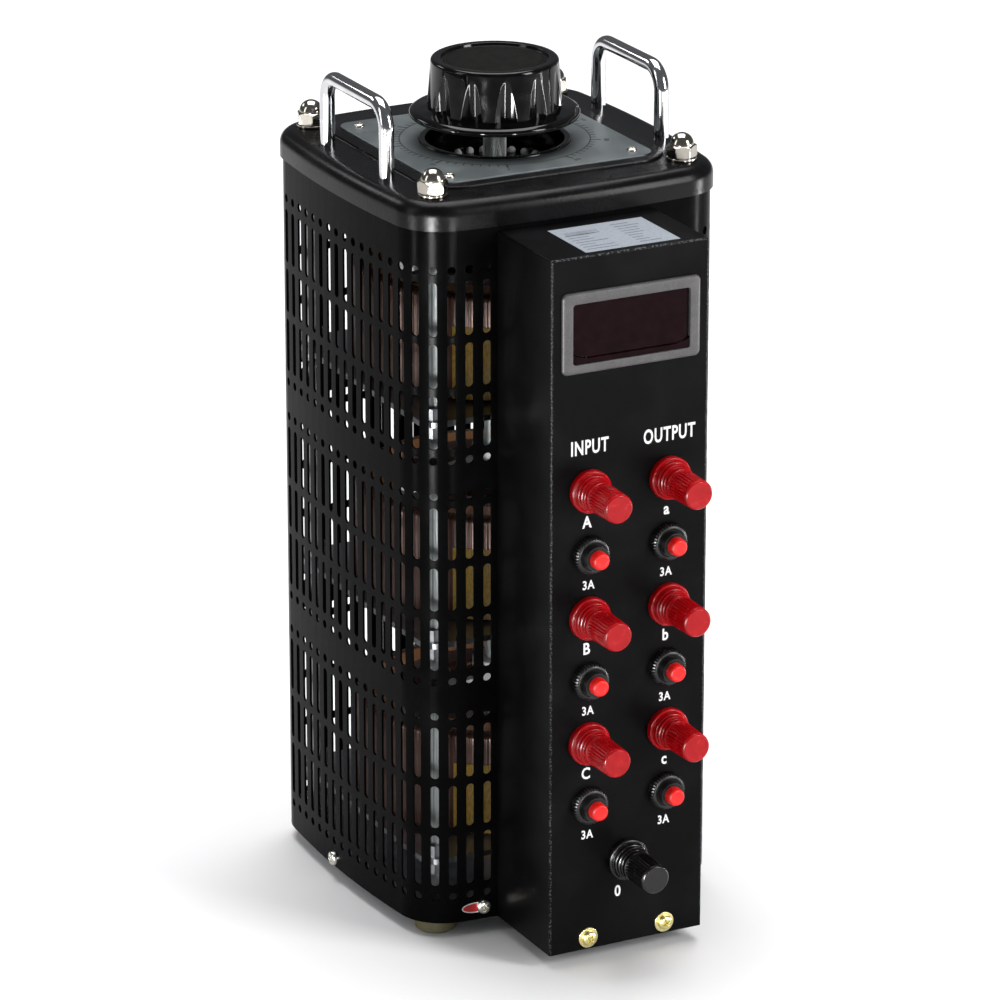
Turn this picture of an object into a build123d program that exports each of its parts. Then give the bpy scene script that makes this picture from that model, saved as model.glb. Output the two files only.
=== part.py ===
from build123d import *
import os
from math import atan2, cos, degrees, hypot, pi, radians, sin, sqrt

# Three-phase variable autotransformer for the bench, in millimetres.
#
# Three toroidal coils stand one above another on four tie rods, inside a perforated wrap. One
# shaft carries a carbon brush over each coil and is turned by the knob on the cover. A folded
# terminal box on the front holds the meter, the binding posts and the circuit breakers.
#
# X runs across the front, -Y is the front, +Z is up. The origin is under the middle of the whole
# object, on the surface that it stands on.

# ---------------------------------------------------------------- driving dimensions
# Wrap, the perforated sheet round the coils
shell_width = 186.0
shell_depth = 186.0
shell_corner = 25.0
wall_radius = 650.0  # the wrap's four walls bow outwards a little
sheet = 1.2
bottom_margin = 66.0  # wrap's lower edge to the middle of the lowest slot panel
top_margin = 75.0  # middle of the highest slot panel to the wrap's upper edge
slot_width = 4.5
long_slot = 29.2
short_slot = 24.0
web = 3.8  # metal left between two cuts of a column
column_pitch = 9.8  # wanted distance between columns, rounded to fit the wrap
column_start = 5.8  # from the terminal box's side to the first column
wire_window_width = 40.0
wire_window_height = 22.0

# Coils
coil_count = 3
coil_pitch = 121.5
coil_drop = 3.0  # the coils' middles lie this much below the panels' middles
coil_clear = 16.8  # air between a winding and the wrap
coil_height = 58.0
winding_bore = 38.0
winding_build = 4.0  # thickness of wire and insulation round the core
winding_edge = 3.6  # rounding of the winding at the core's edges
winding_gap_angle = 24.0  # unwound part of each core, at the front
core_play = 0.2

# Tie rods, supports and nuts
rod_radius = 4.0
rod_inset = 21.0  # wrap's outside to a tie rod's middle
rod_hole_play = 0.2
support_plate = 3.0
support_edge = 9.0  # plate beyond a tie rod's middle
support_bore = 30.0
nut_flats = 13.0
nut_height = 6.5
acorn_flats = 14.0
acorn_hex_height = 6.5
acorn_dome = 6.3
acorn_thread_depth = 9.0
washer_radius = 8.0
washer_height = 1.6

# Base
foot_height = 8.0
foot_radius = 11.0
foot_thread_depth = 5.0
foot_edge = 1.0
base_plate_thickness = 2.0
base_rim_height = 11.0
base_rim_play = 0.2

# Cover and what stands on it
cover_gap = 0.3
cover_skirt = 14.5
cover_overlap = 2.5  # skirt hangs this far over the wrap
cover_edge = 7.5
boss_rise = 1.5
boss_border = 7.5  # raised field beyond the dial plate
boss_corner = 20.0
plate_border = 30.5  # wrap's outside to the dial plate's edge
plate_thickness = 0.8
plate_corner = 8.0
plate_screw_inset = 9.5
plate_screw_head_radius = 2.9
plate_screw_head = 1.5
plate_screw_radius = 1.5
plate_screw_length = 6.0

# Bearing cup round the shaft
cup_lip_radius = 39.8
cup_lip_height = 1.5
cup_outer_radius = 38.3
cup_inner_radius = 36.5
cup_depth = 16.0  # lip to floor
cup_floor = 2.0
cup_play = 0.2
cup_hole_radius = 1.8
cup_hole_circle = 29.0
cup_hole_count = 24

# Shaft and bushes
shaft_radius = 5.5
shaft_play = 0.05  # radial running clearance
bush_wall = 3.0
bush_flange = 3.0
bush_flange_height = 1.5
bush_length = 9.0
shaft_end_gap = 1.0
shaft_edge = 0.5

# Knob
knob_lift = 12.0  # cup's lip to the underside of the flange
knob_flange_radius = 44.8
knob_flange_height = 4.5
knob_foot_radius = 35.5
knob_top_radius = 33.5
knob_height = 31.3
knob_rim = 4.0
knob_recess = 1.6
knob_socket = 20.0

# Handles
handle_radius = 4.0
handle_inset = 13.0  # wrap's outside to the handle's middle
handle_span = 70.0
handle_rise = 42.0  # cover to the outside of the grip
handle_bend = 12.0
handle_hole_play = 0.2
handle_thread = 11.0  # leg below the cover's face

# Brush gear
hub_radius = 12.0
hub_height = 14.0
hub_lift = 2.5  # winding to the hub's underside
arm_width = 12.0
arm_thickness = 4.0
arm_overhang = 8.0  # arm beyond the brush
brush_track_inset = 13.0  # winding's outside to the middle of the brush
brush_width = 9.0
brush_length = 14.0
brush_height = 9.0
brush_air = 0.3
brush_angle = 200.0  # where the brushes stand at rest

# Terminal box
box_depth = 57.6
box_top_gap = 2.7  # below the cover's skirt
box_bend = 1.0
floor_play = 0.2
floor_lip = 13.0
floor_thickness = 1.5

# Panel meter
meter_width = 79.0
meter_height = 43.0
meter_side = 5.5  # bezel to the box's side
meter_drop = 39.8  # box's top to the meter's middle
bezel_proud = 2.0
bezel_chamfer = 0.9
bezel_corner = 3.0
bezel_side = 6.0
bezel_top = 6.0
bezel_bottom = 5.0
meter_body_inset = 2.2
meter_body_depth = 40.0
meter_body_wall = 2.0
meter_cut_play = 0.2
window_thickness = 1.6
window_sink = 0.8
window_play = 0.1

# Binding posts
post_count = 3
post_x = 23.0
post_top_drop = 124.8  # box's top to the highest posts
post_bottom_rise = 47.0  # box's lower edge to the neutral post
post_base_radius = 11.5
post_base_height = 4.5
post_step_radius = 10.0
post_step_height = 2.5
post_spigot_radius = 4.9
post_spigot_length = 3.0
stud_radius = 3.0
stud_tail = 16.0  # behind the panel
stud_head_flats = 10.0
stud_head = 4.0
collar_radius = 9.4
collar_nose_radius = 8.6
collar_height = 2.6
collar_nose = 1.4
collar_air = 0.1
cap_radius = 8.5
cap_end_radius = 7.8
cap_edge = 1.2
cap_length = 21.5
cap_wall = 5.0  # solid end of the cap
stud_end_gap = 1.0
thread_play = 0.08

# Circuit breakers
breaker_x = 22.5
breaker_width = 15.0
breaker_tall = 26.0
breaker_depth = 34.0
breaker_neck_radius = 6.5
breaker_neck = 9.0  # panel's face to the neck's end
breaker_nut_radius = 10.0
breaker_nut_height = 5.0
breaker_nut_notch = 0.8  # radius of a grip notch
breaker_nut_notches = 20
button_radius = 4.7
button_proud = 14.0
button_inside = 6.0
button_edge = 1.0
button_play = 0.08
button_pocket = 3.0  # room behind a button

# Screws of the case
screw_radius = 2.0
screw_head_radius = 4.0
screw_head = 2.6
screw_edge = 1.0
screw_length = 9.0
side_screw_y = 9.0
side_screw_rise = 4.4  # above the wrap's lower edge
earth_screw_gap = 8.0  # terminal box's side to the earth screw's middle
earth_screw_rise = 7.0
box_screw_x = 22.5
box_screw_rise = 6.5
box_washer_radius = 5.5
box_washer_height = 1.0

# ---------------------------------------------------------------- derived places
half_width = shell_width / 2
half_depth = shell_depth / 2
side_centre = half_width - wall_radius  # middle of the right wall's arc, along X from the shaft
end_centre = half_depth - wall_radius  # middle of the back wall's arc, along Y from the shaft
centre_gap = hypot(side_centre, end_centre)
corner_rise = sqrt((wall_radius - shell_corner) ** 2 - (centre_gap / 2) ** 2)
corner_x = side_centre / 2 - corner_rise * end_centre / centre_gap
corner_y = end_centre / 2 - corner_rise * side_centre / centre_gap
side_turn = atan2(corner_y, corner_x - side_centre)  # half of the angle that a side wall turns by
end_turn = atan2(corner_x, corner_y - end_centre)  # the same for the front and the back wall
# From the middle of the front, round the right side, to the middle of the back. Each arc has
# its centre from the shaft, its radius, and the headings where it starts and ends.
half_wrap = (
    ((0, -end_centre), wall_radius, 0, end_turn),
    ((corner_x, -corner_y), shell_corner, end_turn, pi / 2 - side_turn),
    ((side_centre, 0), wall_radius, pi / 2 - side_turn, pi / 2 + side_turn),
    ((corner_x, corner_y), shell_corner, pi / 2 + side_turn, pi - end_turn),
    ((0, end_centre), wall_radius, pi - end_turn, pi),
)
half_wrap_length = sum(radius * (after - before) for _, radius, before, after in half_wrap)
shell_height = bottom_margin + (coil_count - 1) * coil_pitch + top_margin
shell_top = foot_height + shell_height
panel_levels = [foot_height + bottom_margin + i * coil_pitch for i in range(coil_count)]
coil_levels = [z - coil_drop for z in panel_levels]

post_reach = (post_base_height + post_step_height + collar_air + collar_height + collar_nose
              + collar_air + cap_length)
front_reach = half_depth + box_depth + post_reach
back_reach = half_depth + max(screw_head, cover_gap + sheet)
axis_y = (front_reach - back_reach) / 2  # the shaft's place along Y
shell_front = axis_y - half_depth
panel_y = shell_front - box_depth

rod_x = half_width - rod_inset
rod_y = half_depth - rod_inset
rod_places = [(x, y) for x in (-rod_x, rod_x) for y in (-rod_y, rod_y)]

cover_bottom = shell_top - cover_overlap
cover_top = cover_bottom + cover_skirt
boss_top = cover_top + boss_rise
plate_top = boss_top + plate_thickness
plate_width = shell_width - 2 * plate_border
plate_depth = shell_depth - 2 * plate_border
cup_lip_top = boss_top + cup_lip_height
cup_floor_top = cup_lip_top - cup_depth
knob_bottom = cup_lip_top + knob_lift
knob_top = knob_bottom + knob_height

winding_radius = min(half_width, half_depth) - sheet - coil_clear
core_inner = winding_bore + winding_build
core_outer = winding_radius - winding_build
brush_track = winding_radius - brush_track_inset

box_width = meter_width + 2 * meter_side
box_top = cover_bottom - box_top_gap
box_height = box_top - foot_height
meter_level = box_top - meter_drop
post_top = box_top - post_top_drop
neutral_level = foot_height + post_bottom_rise
post_pitch = (post_top - neutral_level) / post_count
post_levels = [post_top - i * post_pitch for i in range(post_count)]
post_places = [(x, z) for x in (-post_x, post_x) for z in post_levels]
neutral_place = (0, neutral_level)
breaker_places = [(x, z - post_pitch / 2) for x in (-breaker_x, breaker_x) for z in post_levels]
all_post_places = post_places + [neutral_place]


def level(z):
    """Level plane at height z, centred on the shaft."""
    return Plane((0, axis_y, z), x_dir=(1, 0, 0), z_dir=(0, 0, 1))


def panel(out):
    """Plane in front of the terminal panel by `out`, facing the front. Its x is across, its y is height."""
    return Plane((0, panel_y - out, 0), x_dir=(1, 0, 0), z_dir=(0, -1, 0))


def wrap_plan(out=0.0, folds=()):
    """The wrap's plan about the shaft, grown by `out`. Walls are flat between `folds`, which are
    runs from the middle of the front, and rolled where a stretch is longer than a column's share."""
    with BuildSketch(Plane.XY) as plan:
        with BuildLine():
            start = 0
            for (x, y), radius, before, after in half_wrap:
                length = radius * (after - before)
                inside = [before + (run - start) / radius for run in folds if start < run < start + length]
                marks = [before, *inside, after] if radius > shell_corner else [before, after]
                for heading, turned in zip(marks, marks[1:]):
                    if radius * (turned - heading) > column_pitch + slot_width:
                        sweep = degrees(turned - heading)
                        CenterArc((x, y), radius + out, degrees(heading) - 90, sweep)
                        CenterArc((-x, y), radius + out, 270 - degrees(heading), -sweep)
                    else:
                        ends = [(x + (radius + out) * sin(h), y - (radius + out) * cos(h))
                                for h in (heading, turned)]
                        Line(*ends)
                        Line(*[(-end_x, end_y) for end_x, end_y in ends])
                start += length
        make_face()
    return plan.sketch


def wrap_plane(run):
    """Plane tangent to the wrap, `run` along its outline from the middle of the front. Its y is height."""
    side = -1 if run < 0 else 1
    rest = abs(run)
    for (x, y), radius, before, after in half_wrap:
        heading = before + rest / radius
        if heading <= after:
            break
        rest -= radius * (after - before)
    facing = (side * sin(heading), -cos(heading), 0)
    origin = (side * (x + radius * sin(heading)), axis_y + y - radius * cos(heading), 0)
    return Plane(origin, x_dir=(-facing[1], facing[0], 0), z_dir=facing)


os.makedirs("parts", exist_ok=True)

# ---------------------------------------------------------------- base
with BuildPart() as rubber_feet:
    with BuildSketch(level(0)):
        with Locations(*rod_places):
            Circle(foot_radius)
    extrude(amount=foot_height)
    with BuildSketch(level(foot_height)):
        with Locations(*rod_places):
            Circle(rod_radius)
    extrude(amount=-foot_thread_depth, mode=Mode.SUBTRACT)
    chamfer(rubber_feet.edges().group_by(Axis.Z)[0], length=foot_edge)
rubber_feet.part.label = "rubber_feet"
export_step(rubber_feet.part, "parts/rubber_feet.step")

tray_inset = sheet + base_rim_play
lower_bush_floor = foot_height + base_plate_thickness

side_screw_z = foot_height + side_screw_rise
earth_screw_z = foot_height + earth_screw_rise
side_run = wall_radius * (end_turn + side_turn) + shell_corner * (pi / 2 - side_turn - end_turn)
case_screws_at = [
    (wrap_plane(-side_run - side_screw_y), (0, side_screw_z)),
    (wrap_plane(side_run + side_screw_y), (0, side_screw_z)),
    (wrap_plane(half_wrap_length), (0, side_screw_z)),
    (wrap_plane(-box_width / 2 - earth_screw_gap), (0, earth_screw_z)),
]

with BuildPart() as base_plate:
    with BuildSketch(level(foot_height)):
        add(wrap_plan(-tray_inset))
    extrude(amount=base_rim_height)
    with BuildSketch(level(foot_height + base_plate_thickness)):
        add(wrap_plan(-tray_inset - sheet))
    extrude(amount=base_rim_height, mode=Mode.SUBTRACT)
    with BuildSketch(level(foot_height)):
        with Locations(*rod_places):
            Circle(rod_radius + rod_hole_play)
        Circle(shaft_radius + shaft_play + bush_wall)
    extrude(amount=base_plate_thickness, mode=Mode.SUBTRACT)
    for screw_plane, place in case_screws_at:
        with BuildSketch(screw_plane):
            with Locations(place):
                Circle(screw_radius)
        extrude(amount=-screw_length, mode=Mode.SUBTRACT)
base_plate.part.label = "base_plate"
export_step(base_plate.part, "parts/base_plate.step")

# ---------------------------------------------------------------- perforated wrap
first_run = box_width / 2 + column_start
wrap_length = 2 * half_wrap_length
column_gaps = round((wrap_length - 2 * first_run) / column_pitch)
column_step = (wrap_length - 2 * first_run) / column_gaps
column_runs = [first_run + i * column_step for i in range(column_gaps + 1)]
# The wall is flat across each column and folded between columns, which keeps the cuts plain.
fold_runs = [first_run + (i - 1 / 2) * column_step for i in range(column_gaps + 2)]
# Runs past the middle of the back are counted the other way round.
column_runs = [run if run <= wrap_length / 2 else run - wrap_length for run in column_runs]
long_slot_at = short_slot / 2 + web + long_slot / 2
hole_at = long_slot_at + long_slot / 2 + web + slot_width / 2

with BuildPart() as perforated_shell:
    with BuildSketch(level(foot_height)):
        add(wrap_plan(folds=fold_runs))
        add(wrap_plan(-sheet, fold_runs), mode=Mode.SUBTRACT)
    extrude(amount=shell_height)
    for run in column_runs:
        with BuildSketch(wrap_plane(run)):
            for z in panel_levels:
                with Locations((0, z)):
                    SlotOverall(short_slot, slot_width, rotation=90)
                with Locations((0, z - long_slot_at), (0, z + long_slot_at)):
                    SlotOverall(long_slot, slot_width, rotation=90)
                with Locations((0, z - hole_at), (0, z + hole_at)):
                    Circle(slot_width / 2)
    extrude(amount=2 * sheet, both=True, mode=Mode.SUBTRACT)
    with BuildSketch(wrap_plane(0)):
        with Locations(*[(0, z) for z in panel_levels]):
            RectangleRounded(wire_window_width, wire_window_height, slot_width)
    extrude(amount=-2 * sheet, mode=Mode.SUBTRACT)
    for screw_plane, place in case_screws_at:
        with BuildSketch(screw_plane):
            with Locations(place):
                Circle(screw_radius)
        extrude(amount=-2 * sheet, mode=Mode.SUBTRACT)
perforated_shell.part.label = "perforated_shell"
export_step(perforated_shell.part, "parts/perforated_shell.step")

with BuildPart() as case_screws:
    for screw_plane, place in case_screws_at:
        with BuildSketch(screw_plane):
            with Locations(place):
                Circle(screw_head_radius)
        extrude(amount=screw_head)
        with BuildSketch(screw_plane):
            with Locations(place):
                Circle(screw_radius)
        extrude(amount=-screw_length)
case_screws.part.label = "case_screws"
export_step(case_screws.part, "parts/case_screws.step")

# ---------------------------------------------------------------- cover
handle_x = half_width - handle_inset
handle_places = [(x, y) for x in (-handle_x, handle_x) for y in (-handle_span / 2, handle_span / 2)]
plate_screw_places = [(x, y)
                      for x in (plate_screw_inset - plate_width / 2, plate_width / 2 - plate_screw_inset)
                      for y in (plate_screw_inset - plate_depth / 2, plate_depth / 2 - plate_screw_inset)]

with BuildPart() as top_cover:
    with BuildSketch(level(cover_bottom)):
        add(wrap_plan(cover_gap + sheet))
    extrude(amount=cover_skirt)
    fillet(top_cover.edges().group_by(Axis.Z)[-1], radius=cover_edge)
    with BuildPart(mode=Mode.PRIVATE) as hollow:
        with BuildSketch(level(cover_bottom)):
            add(wrap_plan(cover_gap))
        extrude(amount=cover_skirt - sheet)
        fillet(hollow.edges().group_by(Axis.Z)[-1], radius=cover_edge - sheet)
    add(hollow.part, mode=Mode.SUBTRACT)
    with BuildSketch(level(cover_top)):
        RectangleRounded(plate_width + 2 * boss_border, plate_depth + 2 * boss_border, boss_corner)
    extrude(amount=boss_rise)
    chamfer(top_cover.edges().group_by(Axis.Z)[-1], length=boss_rise / 3)
    with BuildSketch(level(boss_top)):
        Circle(cup_outer_radius + cup_play)
        with Locations(*rod_places):
            Circle(rod_radius + rod_hole_play)
        with Locations(*handle_places):
            Circle(handle_radius + handle_hole_play)
        with Locations(*plate_screw_places):
            Circle(plate_screw_radius)
    extrude(amount=-cover_skirt, mode=Mode.SUBTRACT)
top_cover.part.label = "top_cover"
export_step(top_cover.part, "parts/top_cover.step")

with BuildPart() as dial_plate:
    with BuildSketch(level(boss_top)):
        RectangleRounded(plate_width, plate_depth, plate_corner)
        Circle(cup_lip_radius + cup_play, mode=Mode.SUBTRACT)
        with Locations(*plate_screw_places):
            Circle(plate_screw_radius, mode=Mode.SUBTRACT)
    extrude(amount=plate_thickness)
dial_plate.part.label = "dial_plate"
export_step(dial_plate.part, "parts/dial_plate.step")

with BuildPart() as dial_screws:
    with BuildSketch(level(plate_top)):
        with Locations(*plate_screw_places):
            Circle(plate_screw_head_radius)
    extrude(amount=plate_screw_head)
    fillet(dial_screws.edges().group_by(Axis.Z)[-1], radius=plate_screw_head / 2)
    with BuildSketch(level(plate_top)):
        with Locations(*plate_screw_places):
            Circle(plate_screw_radius)
    extrude(amount=-plate_screw_length)
dial_screws.part.label = "dial_screws"
export_step(dial_screws.part, "parts/dial_screws.step")

with BuildPart() as bearing_cup:
    with BuildSketch(level(cup_floor_top - cup_floor)):
        Circle(cup_outer_radius)
    extrude(amount=cup_depth + cup_floor)
    with BuildSketch(level(boss_top)):
        Circle(cup_lip_radius)
    extrude(amount=cup_lip_height)
    with BuildSketch(level(cup_floor_top)):
        Circle(cup_inner_radius)
    extrude(amount=cup_depth, mode=Mode.SUBTRACT)
    with BuildSketch(level(cup_floor_top)):
        Circle(shaft_radius + shaft_play + bush_wall)
        with PolarLocations(cup_hole_circle, cup_hole_count):
            Circle(cup_hole_radius)
    extrude(amount=-cup_floor, mode=Mode.SUBTRACT)
bearing_cup.part.label = "bearing_cup"
export_step(bearing_cup.part, "parts/bearing_cup.step")

# ---------------------------------------------------------------- tie rods and their nuts
support_tops = [z - coil_height / 2 for z in coil_levels]
support_bottoms = [z - support_plate for z in support_tops]
rod_bottom = foot_height - foot_thread_depth
rod_top = cover_top + washer_height + acorn_thread_depth
cover_inside = cover_top - sheet

with BuildPart() as tie_rods:
    with BuildSketch(level(rod_bottom)):
        with Locations(*rod_places):
            Circle(rod_radius)
    extrude(amount=rod_top - rod_bottom)
tie_rods.part.label = "tie_rods"
export_step(tie_rods.part, "parts/tie_rods.step")

nut_bottoms = [lower_bush_floor, cover_inside - nut_height]
nut_bottoms += support_tops
nut_bottoms += [z - nut_height for z in support_bottoms]
with BuildPart() as rod_nuts:
    for z in nut_bottoms:
        with BuildSketch(level(z)):
            with Locations(*rod_places):
                RegularPolygon(nut_flats / 2, 6, major_radius=False)
                Circle(rod_radius, mode=Mode.SUBTRACT)
        extrude(amount=nut_height)
rod_nuts.part.label = "rod_nuts"
export_step(rod_nuts.part, "parts/rod_nuts.step")

with BuildPart() as acorn_nuts:
    with BuildSketch(level(cover_top)):
        with Locations(*rod_places):
            Circle(washer_radius)
    extrude(amount=washer_height)
    with BuildSketch(level(cover_top + washer_height)):
        with Locations(*rod_places):
            RegularPolygon(acorn_flats / 2, 6, major_radius=False)
    extrude(amount=acorn_hex_height)
    with Locations(*[(x, axis_y + y, cover_top + washer_height + acorn_hex_height) for x, y in rod_places]):
        Sphere(acorn_dome)
    with BuildSketch(level(cover_top)):
        with Locations(*rod_places):
            Circle(rod_radius)
    extrude(amount=washer_height + acorn_thread_depth, mode=Mode.SUBTRACT)
acorn_nuts.part.label = "acorn_nuts"
export_step(acorn_nuts.part, "parts/acorn_nuts.step")

# ---------------------------------------------------------------- handles
handle_axis_top = cover_top + handle_rise - handle_radius
for side, name in ((-1, "handle_left"), (1, "handle_right")):
    with BuildPart() as handle:
        leg_bottom = cover_top - handle_thread
        with BuildLine():
            FilletPolyline(
                (side * handle_x, axis_y - handle_span / 2, leg_bottom),
                (side * handle_x, axis_y - handle_span / 2, handle_axis_top),
                (side * handle_x, axis_y + handle_span / 2, handle_axis_top),
                (side * handle_x, axis_y + handle_span / 2, leg_bottom),
                radius=handle_bend,
            )
        with BuildSketch(Plane((side * handle_x, axis_y - handle_span / 2, leg_bottom))):
            Circle(handle_radius)
        sweep()
    handle.part.label = name
    export_step(handle.part, f"parts/{name}.step")

with BuildPart() as handle_nuts:
    with BuildSketch(level(cover_inside)):
        with Locations(*handle_places):
            RegularPolygon(nut_flats / 2, 6, major_radius=False, rotation=30)
            Circle(handle_radius, mode=Mode.SUBTRACT)
    extrude(amount=-nut_height)
handle_nuts.part.label = "handle_nuts"
export_step(handle_nuts.part, "parts/handle_nuts.step")

# ---------------------------------------------------------------- coils on their supports
wound_angle = 360 - winding_gap_angle
half_gap = radians(winding_gap_angle / 2)
# The winding starts to the left of the gap and runs clockwise, seen from above, to its right.
wound_start = (-sin(half_gap), -cos(half_gap), 0)
wound_normal = (-cos(half_gap), sin(half_gap), 0)
for number, coil_z in enumerate(coil_levels, start=1):
    with BuildPart() as coil_support:
        with BuildSketch(level(coil_z - coil_height / 2 - support_plate)):
            RectangleRounded(2 * (rod_x + support_edge), 2 * (rod_y + support_edge), support_edge)
            Circle(support_bore, mode=Mode.SUBTRACT)
            with Locations(*rod_places):
                Circle(rod_radius + rod_hole_play, mode=Mode.SUBTRACT)
        extrude(amount=support_plate)
    coil_support.part.label = f"coil_support_{number}"
    export_step(coil_support.part, f"parts/coil_support_{number}.step")

    core_height = coil_height - 2 * winding_build
    with BuildPart() as core:
        with BuildSketch(level(coil_z - core_height / 2)):
            Circle(core_outer)
            Circle(core_inner, mode=Mode.SUBTRACT)
        extrude(amount=core_height)
    core.part.label = f"core_{number}"
    export_step(core.part, f"parts/core_{number}.step")

    winding_plane = Plane((0, axis_y, coil_z), x_dir=wound_start, z_dir=wound_normal)
    with BuildPart() as winding:
        with BuildSketch(winding_plane):
            with Locations(((winding_radius + winding_bore) / 2, 0)):
                RectangleRounded(winding_radius - winding_bore, coil_height, winding_edge)
                Rectangle(core_outer - core_inner + 2 * core_play, core_height + 2 * core_play,
                          mode=Mode.SUBTRACT)
        revolve(axis=Axis((0, axis_y, 0), (0, 0, 1)), revolution_arc=wound_angle)
    winding.part.label = f"winding_{number}"
    export_step(winding.part, f"parts/winding_{number}.step")

# ---------------------------------------------------------------- shaft, bushes and knob
shaft_bottom = foot_height + shaft_end_gap
shaft_top = knob_bottom + knob_socket

with BuildPart() as shaft:
    with BuildSketch(level(shaft_bottom)):
        Circle(shaft_radius)
    extrude(amount=shaft_top - shaft_bottom)
    chamfer(shaft.edges().group_by(Axis.Z)[-1], length=shaft_edge)
shaft.part.label = "shaft"
export_step(shaft.part, "parts/shaft.step")

bush_outer = shaft_radius + shaft_play + bush_wall
upper_bush_bottom = cup_floor_top - bush_length
with BuildPart() as shaft_bushes:
    for bottom, flange_bottom in ((foot_height, lower_bush_floor), (upper_bush_bottom, cup_floor_top)):
        with BuildSketch(level(bottom)):
            Circle(bush_outer)
        extrude(amount=bush_length)
        with BuildSketch(level(flange_bottom)):
            Circle(bush_outer + bush_flange)
        extrude(amount=bush_flange_height)
        with BuildSketch(level(bottom)):
            Circle(shaft_radius + shaft_play)
        extrude(amount=bush_length + bush_flange_height, mode=Mode.SUBTRACT)
shaft_bushes.part.label = "shaft_bushes"
export_step(shaft_bushes.part, "parts/shaft_bushes.step")

with BuildPart() as knob:
    with BuildSketch(level(knob_bottom)):
        Circle(knob_flange_radius)
    extrude(amount=knob_flange_height)
    fillet(knob.edges().filter_by(GeomType.CIRCLE), radius=knob_flange_height / 3)
    with BuildSketch(level(knob_bottom + knob_flange_height)):
        Circle(knob_foot_radius)
    with BuildSketch(level(knob_top)):
        Circle(knob_top_radius)
    loft()
    fillet(knob.edges().group_by(Axis.Z)[-1], radius=knob_recess)
    with BuildSketch(level(knob_top)):
        Circle(knob_top_radius - knob_rim)
    extrude(amount=-knob_recess, mode=Mode.SUBTRACT)
    with BuildSketch(level(knob_bottom)):
        Circle(shaft_radius)
    extrude(amount=knob_socket, mode=Mode.SUBTRACT)
knob.part.label = "knob"
export_step(knob.part, "parts/knob.step")

# ---------------------------------------------------------------- brush gear
brush_dir = (cos(radians(brush_angle)), sin(radians(brush_angle)), 0)
arm_length = brush_track + arm_overhang
for number, coil_z in enumerate(coil_levels, start=1):
    winding_top = coil_z + coil_height / 2
    arm_bottom = winding_top + brush_air + brush_height - arm_thickness / 2
    arm_plane = Plane((0, axis_y, arm_bottom), x_dir=brush_dir, z_dir=(0, 0, 1))
    with BuildPart() as brush_arm:
        with BuildSketch(level(winding_top + hub_lift)):
            Circle(hub_radius)
        extrude(amount=hub_height)
        with BuildSketch(arm_plane):
            with Locations((arm_length / 2, 0)):
                RectangleRounded(arm_length, arm_width, arm_width / 4)
        extrude(amount=arm_thickness)
        with BuildSketch(level(winding_top + hub_lift)):
            Circle(shaft_radius)
        extrude(amount=hub_height, mode=Mode.SUBTRACT)
        with BuildSketch(arm_plane):
            with Locations((brush_track, 0)):
                Rectangle(brush_length, brush_width)
        extrude(amount=arm_thickness / 2, mode=Mode.SUBTRACT)
    brush_arm.part.label = f"brush_arm_{number}"
    export_step(brush_arm.part, f"parts/brush_arm_{number}.step")

with BuildPart() as carbon_brushes:
    for coil_z in coil_levels:
        brush_bottom = coil_z + coil_height / 2 + brush_air
        with BuildSketch(Plane((0, axis_y, brush_bottom), x_dir=brush_dir, z_dir=(0, 0, 1))):
            with Locations((brush_track, 0)):
                Rectangle(brush_length, brush_width)
        extrude(amount=brush_height)
carbon_brushes.part.label = "carbon_brushes"
export_step(carbon_brushes.part, "parts/carbon_brushes.step")

# ---------------------------------------------------------------- terminal box
box_screw_places = [(x, foot_height + box_screw_rise) for x in (-box_screw_x, box_screw_x)]
cut_width = meter_width - 2 * meter_body_inset + 2 * meter_cut_play
cut_height = meter_height - 2 * meter_body_inset + 2 * meter_cut_play
box_bow = wall_radius - sqrt(wall_radius ** 2 - (box_width / 2) ** 2)  # wrap falls back at the box's sides

with BuildPart() as terminal_box:
    with BuildSketch(panel(0)):
        with Locations((0, foot_height + box_height / 2)):
            Rectangle(box_width, box_height)
    extrude(amount=-box_depth - box_bow)
    front_bends = terminal_box.edges().filter_by(GeomType.LINE).group_by(Axis.Y)[0].sort_by(Axis.Z)[1:]
    top_bends = terminal_box.edges().filter_by(Axis.Y).group_by(Axis.Z)[-1]
    fillet(front_bends + top_bends, radius=box_bend)
    with BuildSketch(panel(-sheet)):
        with Locations((0, foot_height + (box_height - sheet) / 2)):
            Rectangle(box_width - 2 * sheet, box_height - sheet)
    extrude(amount=-box_depth - box_bow, mode=Mode.SUBTRACT)
    with BuildSketch(level(foot_height)):
        add(wrap_plan())
    extrude(amount=box_height, mode=Mode.SUBTRACT)
    with BuildSketch(panel(0)):
        with Locations((0, meter_level)):
            Rectangle(cut_width, cut_height)
        with Locations(*all_post_places):
            Circle(post_spigot_radius)
        with Locations(*breaker_places):
            Circle(breaker_neck_radius)
        with Locations(*box_screw_places):
            Circle(screw_radius)
    extrude(amount=-2 * sheet, mode=Mode.SUBTRACT)
terminal_box.part.label = "terminal_box"
export_step(terminal_box.part, "parts/terminal_box.step")

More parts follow.
